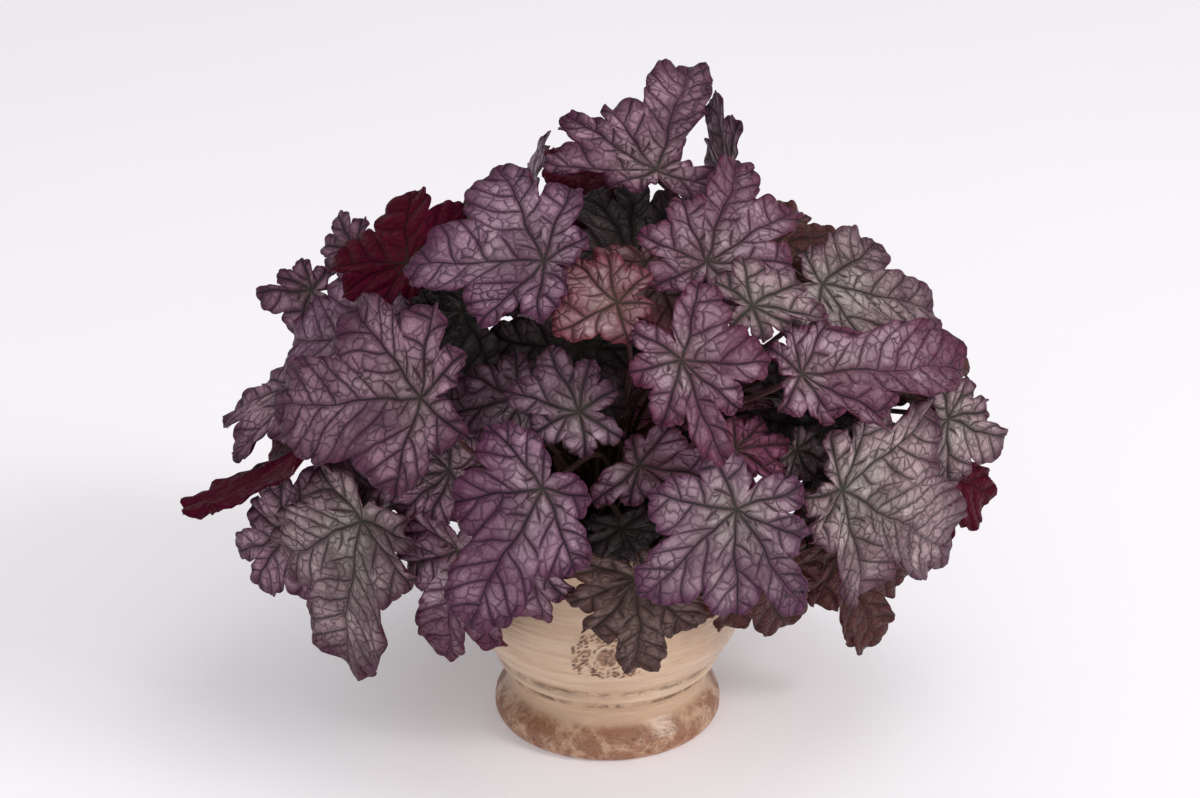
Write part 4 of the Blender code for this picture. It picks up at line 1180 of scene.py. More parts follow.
def side_vein_paint(tree, beside, away, along, sway):
    """The distance from the nearest side vein, by the same formula as the skin's."""
    side = times(tree, calc(tree, "GREATER_THAN", beside, 0.0), 0.5)
    curve = times(tree, times(tree, away, away), -VEIN_BEND)
    lean = calc(tree, "MULTIPLY_ADD", away, -VEIN_LEAN, calc(tree, "ADD", along, sway))
    turns = calc(tree, "DIVIDE", calc(tree, "ADD", lean, curve), VEIN_SPACING)
    turns = calc(tree, "ADD", turns, side)
    off = calc(tree, "ABSOLUTE", calc(tree, "SUBTRACT", calc(tree, "FRACT", turns), 0.5))
    return calc(tree, "SUBTRACT", 0.5, off)


def net_of_veins(tree, place):
    """The coarse and the fine net of veins together, and how far a place is from the coarse one."""
    colours = add_node(tree, "TexNoise", (), Vector=place, Scale=110.0).outputs["Color"]
    shaken = add_node(tree, "VectorMath", {"operation": "SCALE"}, i0=colours, Scale=NET_SHAKE).outputs[0]
    warped = add_node(tree, "VectorMath", {"operation": "ADD"}, i0=place, i1=shaken).outputs[0]
    away, fine_away = (add_node(tree, "TexVoronoi", {"feature": "DISTANCE_TO_EDGE"}, Vector=warped,
                                Scale=scale).outputs["Distance"] for scale in (NET_SCALE, FINE_NET_SCALE))
    net = between(tree, away, 0.006, 0.058, 0.80, 0.0)
    net = times(tree, net, between(tree, noise(tree, place, 55.0, 2.0), 0.38, 0.64, 0.30, 1.0))
    return larger(tree, net, between(tree, fine_away, 0.01, 0.12, 0.24, 0.0)), away


def vein_lines(tree, beside, along, place):
    """How strongly a vein shows, how far it is from all veins, and how far from a side vein, at a place."""
    sway = calc(tree, "MULTIPLY_ADD", noise(tree, place, 95.0, 2.0), PAINT_SWAY, -PAINT_SWAY / 2)
    beside = calc(tree, "ADD", sway, beside)
    away = calc(tree, "ABSOLUTE", beside)
    width = between(tree, along, 0.0, 8.0, MAIN_WIDTH_AT_STALK, MAIN_WIDTH_AT_TIP)
    main = between(tree, calc(tree, "DIVIDE", away, width), *VEIN_SOFTNESS, 1.0, 0.0)
    off = side_vein_paint(tree, beside, away, along, sway)
    side_width = between(tree, away, 0.0, 3.0, SIDE_WIDTH_AT_MIDDLE, SIDE_WIDTH_AT_EDGE)
    sides = between(tree, calc(tree, "DIVIDE", off, side_width), *VEIN_SOFTNESS, 0.92, 0.0)
    net, net_away = net_of_veins(tree, place)
    lines = larger(tree, larger(tree, main, sides), net)
    clear = calc(tree, "MINIMUM", between(tree, away, 0.04, 0.34), between(tree, off, 0.02, 0.20))
    clear = calc(tree, "MINIMUM", clear, between(tree, net_away, 0.0, 0.20, 0.35, 1.0))
    return lines, clear, off


print("nets of veins:", NET_SCALE, "and", FINE_NET_SCALE, "cells to a metre")

# %% [markdown]
# The colours then lie over one another as on the leaf: flesh first, the edge's purple, the film in patches
# with brighter flecks, and the veins on top, greener near the stalk. The underside has a plainer colour of
# its own. The swelling between the veins is repeated as fine bumps, so the light catches each small pillow.

# %% The leaf's colour
FILM_AT_STALK = (0.90, 1.03, 0.94)
FILM_AT_EDGE = (1.05, 0.93, 1.04)
FLECK_GAIN = 1.7
BRIGHTEST = 0.9
LEAF_SHINE = 0.22
BURGUNDY_SHINE = 0.06
GREENISH = from_srgb(58, 62, 34)


def corner_map(tree, name):
    return add_node(tree, "UVMap", {"uv_map": name}).outputs[0]


def tinted(colour, tint):
    return tuple(c * t for c, t in zip(colour, tint))


def film_cover(tree, place, out, clear, film_part):
    """How much film lies at a place: patchy, thin at the edge and thinner along the veins."""
    cover = times(tree, between(tree, out, 1.0, 0.74, 0.12, 1.0), film_part)
    cover = times(tree, cover, between(tree, noise(tree, place, 30.0, 4.0), 0.36, 0.60, 0.30, 1.0))
    return times(tree, cover, between(tree, clear, 0.0, 1.0, 0.30, 1.0))


def leaf_paint(kind):
    *colours, film_part = LEAF_COLOURS[kind]
    film, flesh, edge, vein, under = (from_srgb(*colour) for colour in colours)
    material, tree, shader, place = new_material("leaf_" + kind + "_paint")
    beside, along = add_node(tree, "SeparateXYZ", (), i0=corner_map(tree, "lobe")).outputs[:2]
    out, upper = add_node(tree, "SeparateXYZ", (), i0=corner_map(tree, "blade")).outputs[:2]
    lines, clear, off = vein_lines(tree, beside, along, place)
    cover = film_cover(tree, place, out, clear, film_part)
    colour = blended(tree, between(tree, out, 0.78, 1.0), flesh, edge)
    mottle = between(tree, noise(tree, place, 80.0, 5.0), 0.40, 0.70, 0.0, 0.45)
    colour = blended(tree, mottle, colour, edge)
    film_colour = blended(tree, between(tree, out, 0.10, 0.75), tinted(film, FILM_AT_STALK),
                          tinted(film, FILM_AT_EDGE))
    colour = blended(tree, cover, colour, film_colour)
    flecks = times(tree, cover, between(tree, noise(tree, place, 85.0, 4.0), 0.50, 0.70, 0.0, 0.50))
    colour = blended(tree, flecks, colour, tuple(min(c * FLECK_GAIN, BRIGHTEST) for c in film))
    green = tuple(v * 0.6 + g * 0.4 for v, g in zip(vein, GREENISH))
    vein_colour = blended(tree, between(tree, along, 0.2, 1.6, 1.0, 0.0), vein, green)
    colour = blended(tree, times(tree, lines, 0.92), colour, vein_colour)
    under_colour = blended(tree, times(tree, lines, 0.45), under, tuple(c * 1.5 for c in under))
    colour = blended(tree, upper, under_colour, colour)
    gloss = between(tree, noise(tree, place, 260.0, 3.0), 0.3, 0.7, 0.40, 0.56)
    gloss = calc(tree, "MULTIPLY_ADD", lines, 0.12, gloss)
    swell = calc(tree, "ADD", clear, between(tree, off, 0.0, 0.45))
    swell = calc(tree, "MULTIPLY_ADD", lines, -0.55, swell)
    swell = calc(tree, "MULTIPLY_ADD", noise(tree, place, 420.0, 3.0), 0.22, swell)
    feed_shader(tree, shader, colour, gloss, swell, 0.70, 0.0017)
    shader.inputs["Specular IOR Level"].default_value = BURGUNDY_SHINE if kind == "burgundy" else LEAF_SHINE
    return material


leaf_paints = {kind: leaf_paint(kind) for kind in LEAF_COLOURS}
print("leaf finishes:", len(leaf_paints))

# %% [markdown]
# The stalks are smooth and round, wine red above and greener towards the potting mix. Fine streaks along
# them come from a noise that is stretched in height.

# %% The stalk's finish
WINE, STALK_GREEN, STALK_DARK = from_srgb(84, 34, 40), from_srgb(70, 66, 38), from_srgb(52, 22, 28)


def stalk_paint():
    material, tree, shader, place = new_material("stalk_paint")
    streak = noise(tree, stretched(tree, place, 0.12), 900.0, 3.0)
    colour = blended(tree, between(tree, height_of(tree, place), 0.12, 0.22), STALK_GREEN, WINE)
    colour = blended(tree, between(tree, streak, 0.35, 0.7, 0.0, 0.6), colour, STALK_DARK)
    feed_shader(tree, shader, colour, between(tree, streak, 0.3, 0.7, 0.42, 0.6), streak, 0.3, 0.0004)
    return material


stalk_finish = stalk_paint()
print("stalk finish:", stalk_finish.name)

# %% [markdown]
# ## The fine blade
# The edge of a real leaf is cut into small rounded teeth. They are spaced evenly along the edge, not by
# angle, or those at a narrow lobe's sides would be drawn out long. So the outline is measured first and
# parted into equal lengths, and each cut then goes in square to it.

# %% Even steps along the edge
OUTLINE_SAMPLES = 401
FINE_LEAST_ROUNDNESS = 1.3
NOTCH_SHARPNESS = 10


def even_steps(edge, count):
    """Steps of u that part a lobe's outline into equal lengths, with its points, outward ways and length."""
    low, middle, high, length, low_notch, high_notch = edge
    u = np.linspace(-1.0, 1.0, OUTLINE_SAMPLES)
    half = np.where(u > 0, high - middle, middle - low)
    notch = np.where(u > 0, high_notch, low_notch)
    roundness = np.clip(LOBE_ROUNDNESS / half, FINE_LEAST_ROUNDNESS, MOST_ROUNDNESS)
    angle = middle + u * half
    radius = length - (length - notch) * np.abs(u) ** roundness
    outline = np.stack([radius * np.cos(angle), radius * np.sin(angle)], axis=1)
    gone = np.concatenate([[0.0], np.cumsum(np.linalg.norm(np.diff(outline, axis=0), axis=1))])
    even = np.interp(np.linspace(0.0, gone[-1], count + 1), gone, u)
    outline = np.stack([np.interp(even, u, outline[:, k]) for k in (0, 1)], axis=1)
    run = np.gradient(outline, axis=0)
    outward = np.stack([run[:, 1], -run[:, 0]], axis=1)
    outward /= np.linalg.norm(outward, axis=1)[:, None]
    radial = outline / np.linalg.norm(outline, axis=1)[:, None]
    at_notch = np.abs(even[:, None]) ** NOTCH_SHARPNESS
    return even, outline, outward * (1 - at_notch) + radial * at_notch, gone[-1]


largest = max(blades, key=lambda blade: blade["length"])
edge_lengths = [even_steps(edge, 1)[3] for edge in lobe_edges(largest["lobes"])]
print("edges of the largest blade's lobes:", [round(float(length)) for length in edge_lengths], "mm")

# %% [markdown]
# The absolute value of a sine is a row of humps with sharp cuts between them, which is what a row of
# rounded teeth looks like. A lobe has three big teeth, and a row of small ones is cut over them. The number
# of small ones is odd, so that one sits at the tip. A seed makes each lobe's teeth a little uneven.

# %% The teeth
LARGE_GRID = (45, 14)
SMALL_GRID = (27, 10)
SMALL_TEETH = 5
LARGE_TEETH = 9
TOOTH_LENGTH = 13.0
TOOTH_DEPTH = 3.2
TOOTH_SHARE = 0.27
TOOTH_ROUNDNESS = 0.56
BIG_TEETH = 3
BIG_TOOTH_DEPTH = 0.050
BIG_TOOTH_ROUNDNESS = 0.5
SLOW_SHIFT, QUICK_SHIFT = 0.022, 0.012
MEAN_STRENGTH, STRENGTH_SWING = 0.85, 0.3


def scallops(run, teeth, roundness):
    """0 on the round of each tooth and 1 in the cuts between them, for a run from 0 to 1 along the edge."""
    return 1.0 - np.abs(np.sin(math.pi * teeth * run)) ** roundness


def tooth_count(around, across_steps):
    """An odd number of small teeth for an edge this long, as many as its grid can show."""
    most = LARGE_TEETH if across_steps > SMALL_GRID[0] else SMALL_TEETH
    return min(max(2 * round((around / TOOTH_LENGTH - 1) / 2) + 1, SMALL_TEETH), most)


def uneven_run(across_steps, seed):
    """The run along the edge, 0 to 1, quicker here and slower there, so that the teeth differ in width."""
    run = np.linspace(0.0, 1.0, across_steps + 1)
    slow = SLOW_SHIFT * math.sin(seed * 9.0) * np.sin(2 * math.pi * run)
    return run + slow + QUICK_SHIFT * np.sin(4 * math.pi * run)


def tooth_cuts(run, teeth, around, seed):
    """How far the small and the big cuts go in at each step of the run, in mm."""
    cut = scallops(run, teeth, TOOTH_ROUNDNESS) * min(TOOTH_DEPTH, TOOTH_SHARE * around / teeth)
    cut = cut * (MEAN_STRENGTH + STRENGTH_SWING * np.sin(run * 17.0 + seed * 20.0))
    return cut, scallops(run, BIG_TEETH, BIG_TOOTH_ROUNDNESS) * BIG_TOOTH_DEPTH * around / 2


print("teeth on a lobe:", SMALL_TEETH, "to", LARGE_TEETH)

# %% [markdown]
# A grid over each lobe, from the stalk's end to the edge, is laid on the blade's formula. The cuts between
# the teeth grow deeper towards the edge, the teeth curl up and down by turns, and the skin swells between
# the veins like a quilt. Whole grids of numbers are worked out at once, which is much quicker than point by
# point.

# %% The fine surface of one lobe
ROW_CROWDING = 0.80
EDGE_CURL = 0.024
QUILT_DEPTH = 0.019
QUILT_LONGEST = 80.0
QUILT_STEEPNESS = 3.2
QUILT_FROM_MAIN_VEIN = 0.28
QUILT_MIDDLE = 0.6
CM = 0.1


def quilting(blade, u, part, beside, along):
    """How far the skin swells between the veins, in mm, and not at the notches, where the lobes join."""
    quilt = np.minimum(side_vein_distance(beside, along) * QUILT_STEEPNESS, 1.0)
    quilt = quilt * np.minimum(np.abs(beside) / QUILT_FROM_MAIN_VEIN, 1.0) * np.minimum(part * 2.0, 1.0)
    return QUILT_DEPTH * min(blade["length"], QUILT_LONGEST) * (quilt - QUILT_MIDDLE) * (1.0 - np.abs(u) ** 6)


def fine_lobe(blade, edge, across_steps, out_steps, seed):
    """Points of the upper skin over one lobe, and each one's place beside and along the main vein, in cm."""
    u, outline, outward, around = even_steps(edge, across_steps)
    teeth = tooth_count(around, across_steps)
    run = uneven_run(across_steps, seed)
    cut, big_cut = tooth_cuts(run, teeth, around, seed)
    part = (np.linspace(0.0, 1.0, out_steps + 1)[1:]) ** ROW_CROWDING
    part, u, run = part[:, None], u[None, :], run[None, :]
    inward = cut[None, :] * part ** 7 + big_cut[None, :] * part ** 3
    flat = outline[None, :, :] * part[..., None] - outward[None, :, :] * inward[..., None]
    radius, angle = np.hypot(flat[..., 0], flat[..., 1]), np.arctan2(flat[..., 1], flat[..., 0])
    turn = (angle - edge[1] + math.pi) % (2 * math.pi) - math.pi
    beside, along = swayed(radius * np.sin(turn) * CM, radius * np.cos(turn) * CM, seed)
    curl = np.sin(math.pi * teeth * run + seed * 6) * (1 - np.abs(u) ** 8) * part ** 5
    height = blade_height(blade, u, part, angle, radius) + EDGE_CURL * blade["length"] * curl
    height = height + quilting(blade, u, part, beside, along)
    in_plane = flat[..., :1] * blade["along"] + flat[..., 1:] * blade["across"]
    points = blade["base"] + (in_plane + height[..., None] * blade["normal"])
    return points, beside, along, np.broadcast_to(part, radius.shape)


print("grid over a large lobe:", LARGE_GRID)

# %% [markdown]
# Neighbouring lobes share the points along their notch, so the lobes' grids join into one skin. The maps
# belong to the corners of the faces, not to the points, because a point in a notch has a place on both
# lobes.

# %% One skin from the lobes
LARGE_GRID_FROM = 0.8 * SMALL_BLADE


def grid_of(blade):
    large = blade["length"] > LARGE_GRID_FROM and blade["layer"] < DEEP_LAYER
    return LARGE_GRID if large else SMALL_GRID


def fine_skin(blade):
    """The upper skin's points and faces, both maps for each corner, and how many points the edge has."""
    across_steps, out_steps = grid_of(blade)
    edges = lobe_edges(blade["lobes"])
    count = len(edges)
    rng = random.Random("curl of " + blade["name"])
    points = [blade["base"][None, :]]
    faces, lobe_map, blade_map = [], [], []
    columns = across_steps * count
    grids = []
    for edge in edges:
        grids.append(fine_lobe(blade, edge, across_steps, out_steps, rng.uniform(-0.5, 0.5)))
    for row in range(out_steps):
        points += [grid[0][row, :-1] for grid in grids]
    points = np.vstack(points)
    for number, (_, beside, along, part) in enumerate(grids):
        for step in range(across_steps):
            first = number * across_steps + step
            following = (first + 1) % columns
            faces.append((0, 1 + first, 1 + following))
            lobe_map += [(0.0, 0.0), (beside[0, step], along[0, step]),
                         (beside[0, step + 1], along[0, step + 1])]
            blade_map += [0.0, part[0, step], part[0, step + 1]]
            for row in range(out_steps - 1):
                low, high = 1 + row * columns, 1 + (row + 1) * columns
                faces.append((low + first, high + first, high + following, low + following))
                for r, s in ((row, step), (row + 1, step), (row + 1, step + 1), (row, step + 1)):
                    lobe_map.append((beside[r, s], along[r, s]))
                    blade_map.append(part[r, s])
    return points, faces, lobe_map, blade_map, columns


print("points of the largest skin:", len(fine_skin(largest)[0]))

# %% [markdown]
# A leaf is thin but not flat paper: pushed half its thickness each way along its normals, the skin gives an
# upper side and an underside, and a narrow rim joins them all round.

# %% Two sides and a rim
FINE_THICKNESS = 0.6
RIM_LOBE_PLACE = (1.0, 5.0)
RIM_BLADE_PLACE = (1.0, 1.0)


def normals_of(points, faces):
    """Smooth normals of the skin, from the corners of its faces."""
    normals = np.zeros_like(points)
    for size in (3, 4):
        some = np.array([face for face in faces if len(face) == size])
        way = np.cross(points[some[:, 1]] - points[some[:, 0]], points[some[:, 2]] - points[some[:, 0]])
        for corner in range(size):
            np.add.at(normals, some[:, corner], way)
    return normals / np.linalg.norm(normals, axis=1)[:, None]


def fine_blade(blade):
    """The whole blade: upper skin, underside and rim, with the corner maps of all its faces."""
    points, faces, lobe_map, blade_map, columns = fine_skin(blade)
    normals = normals_of(points, faces)
    half = normals * FINE_THICKNESS / 2
    count = len(points)
    edge_start = count - columns
    under, under_lobe, under_blade = [], [], []
    at = 0
    for face in faces:
        size = len(face)
        under.append(tuple(corner + count for corner in reversed(face)))
        under_lobe += reversed(lobe_map[at:at + size])
        under_blade += reversed(blade_map[at:at + size])
        at += size
    rim = []
    for k in range(columns):
        a, b = edge_start + k, edge_start + (k + 1) % columns
        rim.append((a, a + count, b + count, b))
    maps = lobe_map + under_lobe + [RIM_LOBE_PLACE] * (4 * columns)
    sides = [(value, 1.0) for value in blade_map] + [(value, 0.0) for value in under_blade]
    sides += [RIM_BLADE_PLACE] * (4 * columns)
    return np.vstack([points + half, points - half]), faces + under + rim, maps, sides


print("blade thickness", FINE_THICKNESS, "mm")

# %% [markdown]
# ## The fine stalk
# A stalk is a thin round tube that follows its path, from the blade down into its hole. It widens a little
# where it spreads into the blade. A frame is carried along the path without twisting, and a ring of points
# is set round it at each step.

# %% A stalk along its path
STALK_RADIUS = 1.35
FINE_STALK_SIDES = 8
FINE_STALK_STEPS = 26
STALK_INTO_BLADE = 0.3
HOLE_DEPTH = 9.0
ABOVE_HOLE_BOTTOM = 1.0
TOP_SWELL = 0.5
SWELL_STEPS = 1.5


def stalk_path(blade):
    """The stalk's path from the blade down into its hole, on the plain solid's curve but in smaller steps."""
    curve = list(reversed(curve_points(blade["route"], FINE_STALK_STEPS)))
    start = blade["base"] - blade["normal"] * STALK_INTO_BLADE
    bottom = blade["seat"] + np.array([0.0, 0.0, ABOVE_HOLE_BOTTOM - HOLE_DEPTH])
    return [start, *curve, blade["seat"], bottom]


def fine_stalk(blade):
    """The tube's points and faces, ring by ring, with a flat cap at each end."""
    path = stalk_path(blade)
    points, faces = [], []
    across = blade["across"]
    for step, middle in enumerate(path):
        before, after = path[max(step - 1, 0)], path[min(step + 1, len(path) - 1)]
        heading = (after - before) / np.linalg.norm(after - before)
        across = across - heading * (across @ heading)
        across = across / np.linalg.norm(across)
        aside = np.cross(heading, across)
        swell = 1.0 + TOP_SWELL * math.exp(-step / SWELL_STEPS)
        for k in range(FINE_STALK_SIDES):
            angle = 2 * math.pi * k / FINE_STALK_SIDES
            outward = aside * math.cos(angle) + across * math.sin(angle)
            points.append(middle + outward * STALK_RADIUS * swell)
        if step:
            old, new = (step - 1) * FINE_STALK_SIDES, step * FINE_STALK_SIDES
            for k in range(FINE_STALK_SIDES):
                following = (k + 1) % FINE_STALK_SIDES
                faces.append((old + k, new + k, new + following, old + following))
    last = (len(path) - 1) * FINE_STALK_SIDES
    faces.append(tuple(range(FINE_STALK_SIDES)))
    faces.append(tuple(reversed(range(last, last + FINE_STALK_SIDES))))
    return np.array(points), faces


print("stalk radius", STALK_RADIUS, "mm")

# %% [markdown]
# ## Set up the leaves
# Each blade and its stalk become one object, because they grew as one piece. It takes the place of the
# plain solid of the same name, and rides on the plant's one body.

# %% Make the leaves
def put_maps(mesh, name, values, total):
    """Lays a map on the mesh's corners. The stalk's corners come last and stay at zero."""
    layer = mesh.uv_layers.new(name=name)
    flat = np.zeros((total, 2), np.float32)
    flat[:len(values)] = values
    layer.data.foreach_set("uv", flat.ravel())


def make_leaf(blade):
    blade_corners, blade_sides, lobe_map, side_map = fine_blade(blade)
    stalk_corners, stalk_sides = fine_stalk(blade)
    start = len(blade_corners)
    faces = blade_sides + [tuple(corner + start for corner in face) for face in stalk_sides]
    points = np.vstack([blade_corners, stalk_corners]) * MM
    mesh = bpy.data.meshes.new("grown_" + blade["name"])
    mesh.from_pydata(points.tolist(), [], faces)
    mesh.materials.append(leaf_paints[blade["kind"]])
    mesh.materials.append(stalk_finish)
    indices = np.zeros(len(faces), np.int32)
    indices[len(blade_sides):] = 1
    mesh.polygons.foreach_set("material_index", indices)
    total = len(mesh.loops)
    put_maps(mesh, "lobe", lobe_map, total)
    put_maps(mesh, "blade", side_map, total)
    mesh.shade_smooth()
    leaf_object = add_object("grown_" + blade["name"], mesh)
    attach(leaf_object, "root")
    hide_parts("leaf_" + blade["name"])
    return leaf_object


leaves = [make_leaf(blade) for blade in blades]
print("leaves made:", len(leaves), "with", sum(len(o.data.polygons) for o in leaves), "faces")

# %% [markdown]
# ## The pot
# A turned pot has no corners, so a smooth curve is led through the plain profile's points. At each point
# the curve runs parallel to the line between its two neighbours, which keeps it free of kinks.

# %% The pot's fine profile
FINE_POT_SIDES = 336
PROFILE_STEP = 1.1
CURVE_PULL = 0.8
LEAST_SPAN = 1e-6


def smooth_profile(corners):
    """Points led smoothly through the profile's corners, about one step apart."""
    result = []
    count = len(corners)
    for k in range(count - 1):
        p0, p1, p2, p3 = (np.array(corners[min(max(k + j, 0), count - 1)]) for j in (-1, 0, 1, 2))
        span = float(np.linalg.norm(p2 - p1))
        steps = max(1, round(span / PROFILE_STEP))
        tangent_in = (p2 - p0) * span / max(float(np.linalg.norm(p2 - p0)), LEAST_SPAN)
        tangent_out = (p3 - p1) * span / max(float(np.linalg.norm(p3 - p1)), LEAST_SPAN)
        for step in range(steps):
            t = step / steps
            a, b = 2 * t ** 3 - 3 * t ** 2 + 1, t ** 3 - 2 * t ** 2 + t
            c, d = -2 * t ** 3 + 3 * t ** 2, t ** 3 - t ** 2
            result.append(a * p1 + b * tangent_in * CURVE_PULL + c * p2 + d * tangent_out * CURVE_PULL)
    result.append(np.array(corners[-1]))
    return [(radius, max(height, 0.0)) for radius, height in result]


profile = smooth_profile(pot_profile())
print("profile points:", len(profile))

# %% [markdown]
# A small raised patch of ornament sits on the front of the belly. It is a plain rosette of petals in a
# beaded ring, with wavy sprigs and round buds beside it. A formula lifts it out of the wall, so that it
# catches light like real relief.

# %% The ornament
PATCH_HEIGHT = 69.0
PATCH_HALF_WIDTH = 19.0
PATCH_HALF_HEIGHT = 13.5
PETALS_AT, PETALS_REACH = 3.4, 2.3
HEART_REACH = 1.3
RING_AT, RING_HALF = 7.6, 0.7
ROSETTE_EDGE, EDGE_SOFTNESS = 8.6, 0.8
SPRIG_SWING, SPRIG_TURNS, SPRIG_HALF = 3.4, 0.42, 1.1
BUD_TURNS = 1.45


def rosette(beside, above, distance):
    """Six petals round a small heart, inside a beaded ring."""
    angle = np.arctan2(above, beside)
    petals = np.clip(1.25 - np.abs(distance - PETALS_AT) / PETALS_REACH, 0, 1)
    petals = petals * (0.35 + 0.65 * np.abs(np.cos(3 * angle)))
    heart = np.clip(1.3 - distance / HEART_REACH, 0, 1)
    ring = np.clip(1.0 - np.abs(distance - RING_AT) / RING_HALF, 0, 1)
    ring = ring * (0.4 + 0.6 * np.abs(np.cos(10 * angle)))
    return np.maximum(np.maximum(petals, heart), ring)


def sprigs_and_buds(beside, above):
    """A wavy line, and rounded bumps whose rows are bent so that they don't look like a grid."""
    sprigs = np.clip(1.0 - np.abs(above - SPRIG_SWING * np.sin(beside * SPRIG_TURNS)) / SPRIG_HALF, 0, 1)
    bent_beside = beside + 1.4 * np.sin(above * 0.9)
    bent_above = above + 1.3 * np.sin(beside * 0.8)
    buds = np.clip(2.4 * np.sin(bent_beside * BUD_TURNS) * np.sin(bent_above * BUD_TURNS) - 0.5, 0, 1)
    return np.maximum(sprigs, buds)


def ornament(beside, above):
    """How high the ornament stands, from 0 to 1, at a place on the patch in mm from its middle."""
    distance = np.hypot(beside, above)
    outside = np.clip((distance - ROSETTE_EDGE) / EDGE_SOFTNESS, 0, 1)
    inside = np.clip((1.0 - (beside / PATCH_HALF_WIDTH) ** 4 - (above / PATCH_HALF_HEIGHT) ** 4) * 4, 0, 1)
    return inside * np.maximum(rosette(beside, above, distance), outside * sprigs_and_buds(beside, above))


print("patch", 2 * PATCH_HALF_WIDTH, "mm by", 2 * PATCH_HALF_HEIGHT, "mm")

# %% [markdown]
# The fine profile is turned round the axis like the plain one. The outside is moved outwards by the relief
# and by the faint ridges that fingers leave on a turning pot. The relief is also kept on each point as a
# number, so that the glaze can be rubbed darker there.

# %% Turn the pot
RELIEF = 0.9
RIDGE_DEPTH = 0.12
RIDGE_TURNS = 1.9


def pot_points(rows):
    """The pot's points, ring by ring between the two on the axis, and how far each one is in the relief."""
    angles = np.arange(FINE_POT_SIDES) * 2 * math.pi / FINE_POT_SIDES
    beside = np.array([math.remainder(angle + math.pi / 2, 2 * math.pi) * BELLY_RADIUS for angle in angles])
    points, masks = [np.array([[0.0, 0.0, profile[0][1]]])], [np.zeros(1)]
    for number, (radius, height) in enumerate(rows):
        # The first half of the rows is the outside, up to just under the rim.
        outer = number < len(rows) / 2
        raised = ornament(beside, np.full_like(beside, height - PATCH_HEIGHT)) * outer
        out = radius + raised * RELIEF + RIDGE_DEPTH * math.sin(height * RIDGE_TURNS) * outer
        ring = [out * np.cos(angles), out * np.sin(angles), np.full_like(out, height)]
        points.append(np.stack(ring, axis=1))
        masks.append(raised)
    points.append(np.array([[0.0, 0.0, profile[-1][1]]]))
    masks.append(np.zeros(1))
    return np.vstack(points), np.concatenate(masks)


def make_pot(paint):
    rows = profile[1:-1]
    points, masks = pot_points(rows)
    faces = turned_faces(len(rows), FINE_POT_SIDES)
    mesh = bpy.data.meshes.new("turned_pot")
    mesh.from_pydata((points * MM).tolist(), [], faces)
    relief = mesh.attributes.new("relief", "FLOAT", "POINT")
    relief.data.foreach_set("value", masks.astype(np.float32))
    mesh.materials.append(paint)
    mesh.shade_smooth()
    pot = add_object("turned_pot", mesh)
    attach(pot, "root")
    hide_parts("pot")
    return pot


print("sides of the fine pot:", FINE_POT_SIDES)

# %% [markdown]
# ## The glaze
# The glaze is a warm cream, brushed on in bands, with brown rubbed over it round the foot, in the grooves
# beside the bead and over the ornament. Noise stretched round the pot makes the brush marks, and bands of
# height, broken up by more noise, say where the brown shows. On the ornament, the relief says it.

# %% The glaze's finish
CREAM, PALE, TAN = from_srgb(206, 172, 142), from_srgb(222, 194, 166), from_srgb(180, 132, 96)
BROWN, DARK_BROWN = from_srgb(140, 86, 56), from_srgb(72, 42, 28)
# Each band of height is its middle, its half width and how softly it ends, in mm.
FOOT_BAND, FOOT_LIP_BAND = (4.0, 9.0, 9.0), (15.0, 1.0, 4.0)
LOWER_GROOVE_BAND, UPPER_GROOVE_BAND = (31.0, 0.6, 2.0), (39.8, 1.0, 2.2)
GROUND_BAND = (4.0, 12.0, 12.0)


def band(tree, height, middle, half, soft):
    """1 within a band of height, in mm, and 0 outside it."""
    away = calc(tree, "ABSOLUTE", calc(tree, "SUBTRACT", height, middle * MM))
    return between(tree, away, (half + soft) * MM, half * MM)


def brushed_glaze(tree, place, height, streaks, fine_streaks):
    """The cream glaze with its brush marks, a little browner towards the ground."""
    colour = blended(tree, between(tree, streaks, 0.38, 0.64), CREAM, PALE)
    colour = blended(tree, between(tree, fine_streaks, 0.52, 0.78, 0.0, 0.40), colour, TAN)
    ground = times(tree, band(tree, height, *GROUND_BAND), between(tree, streaks, 0.36, 0.60))
    return blended(tree, times(tree, ground, 0.65), colour, TAN)


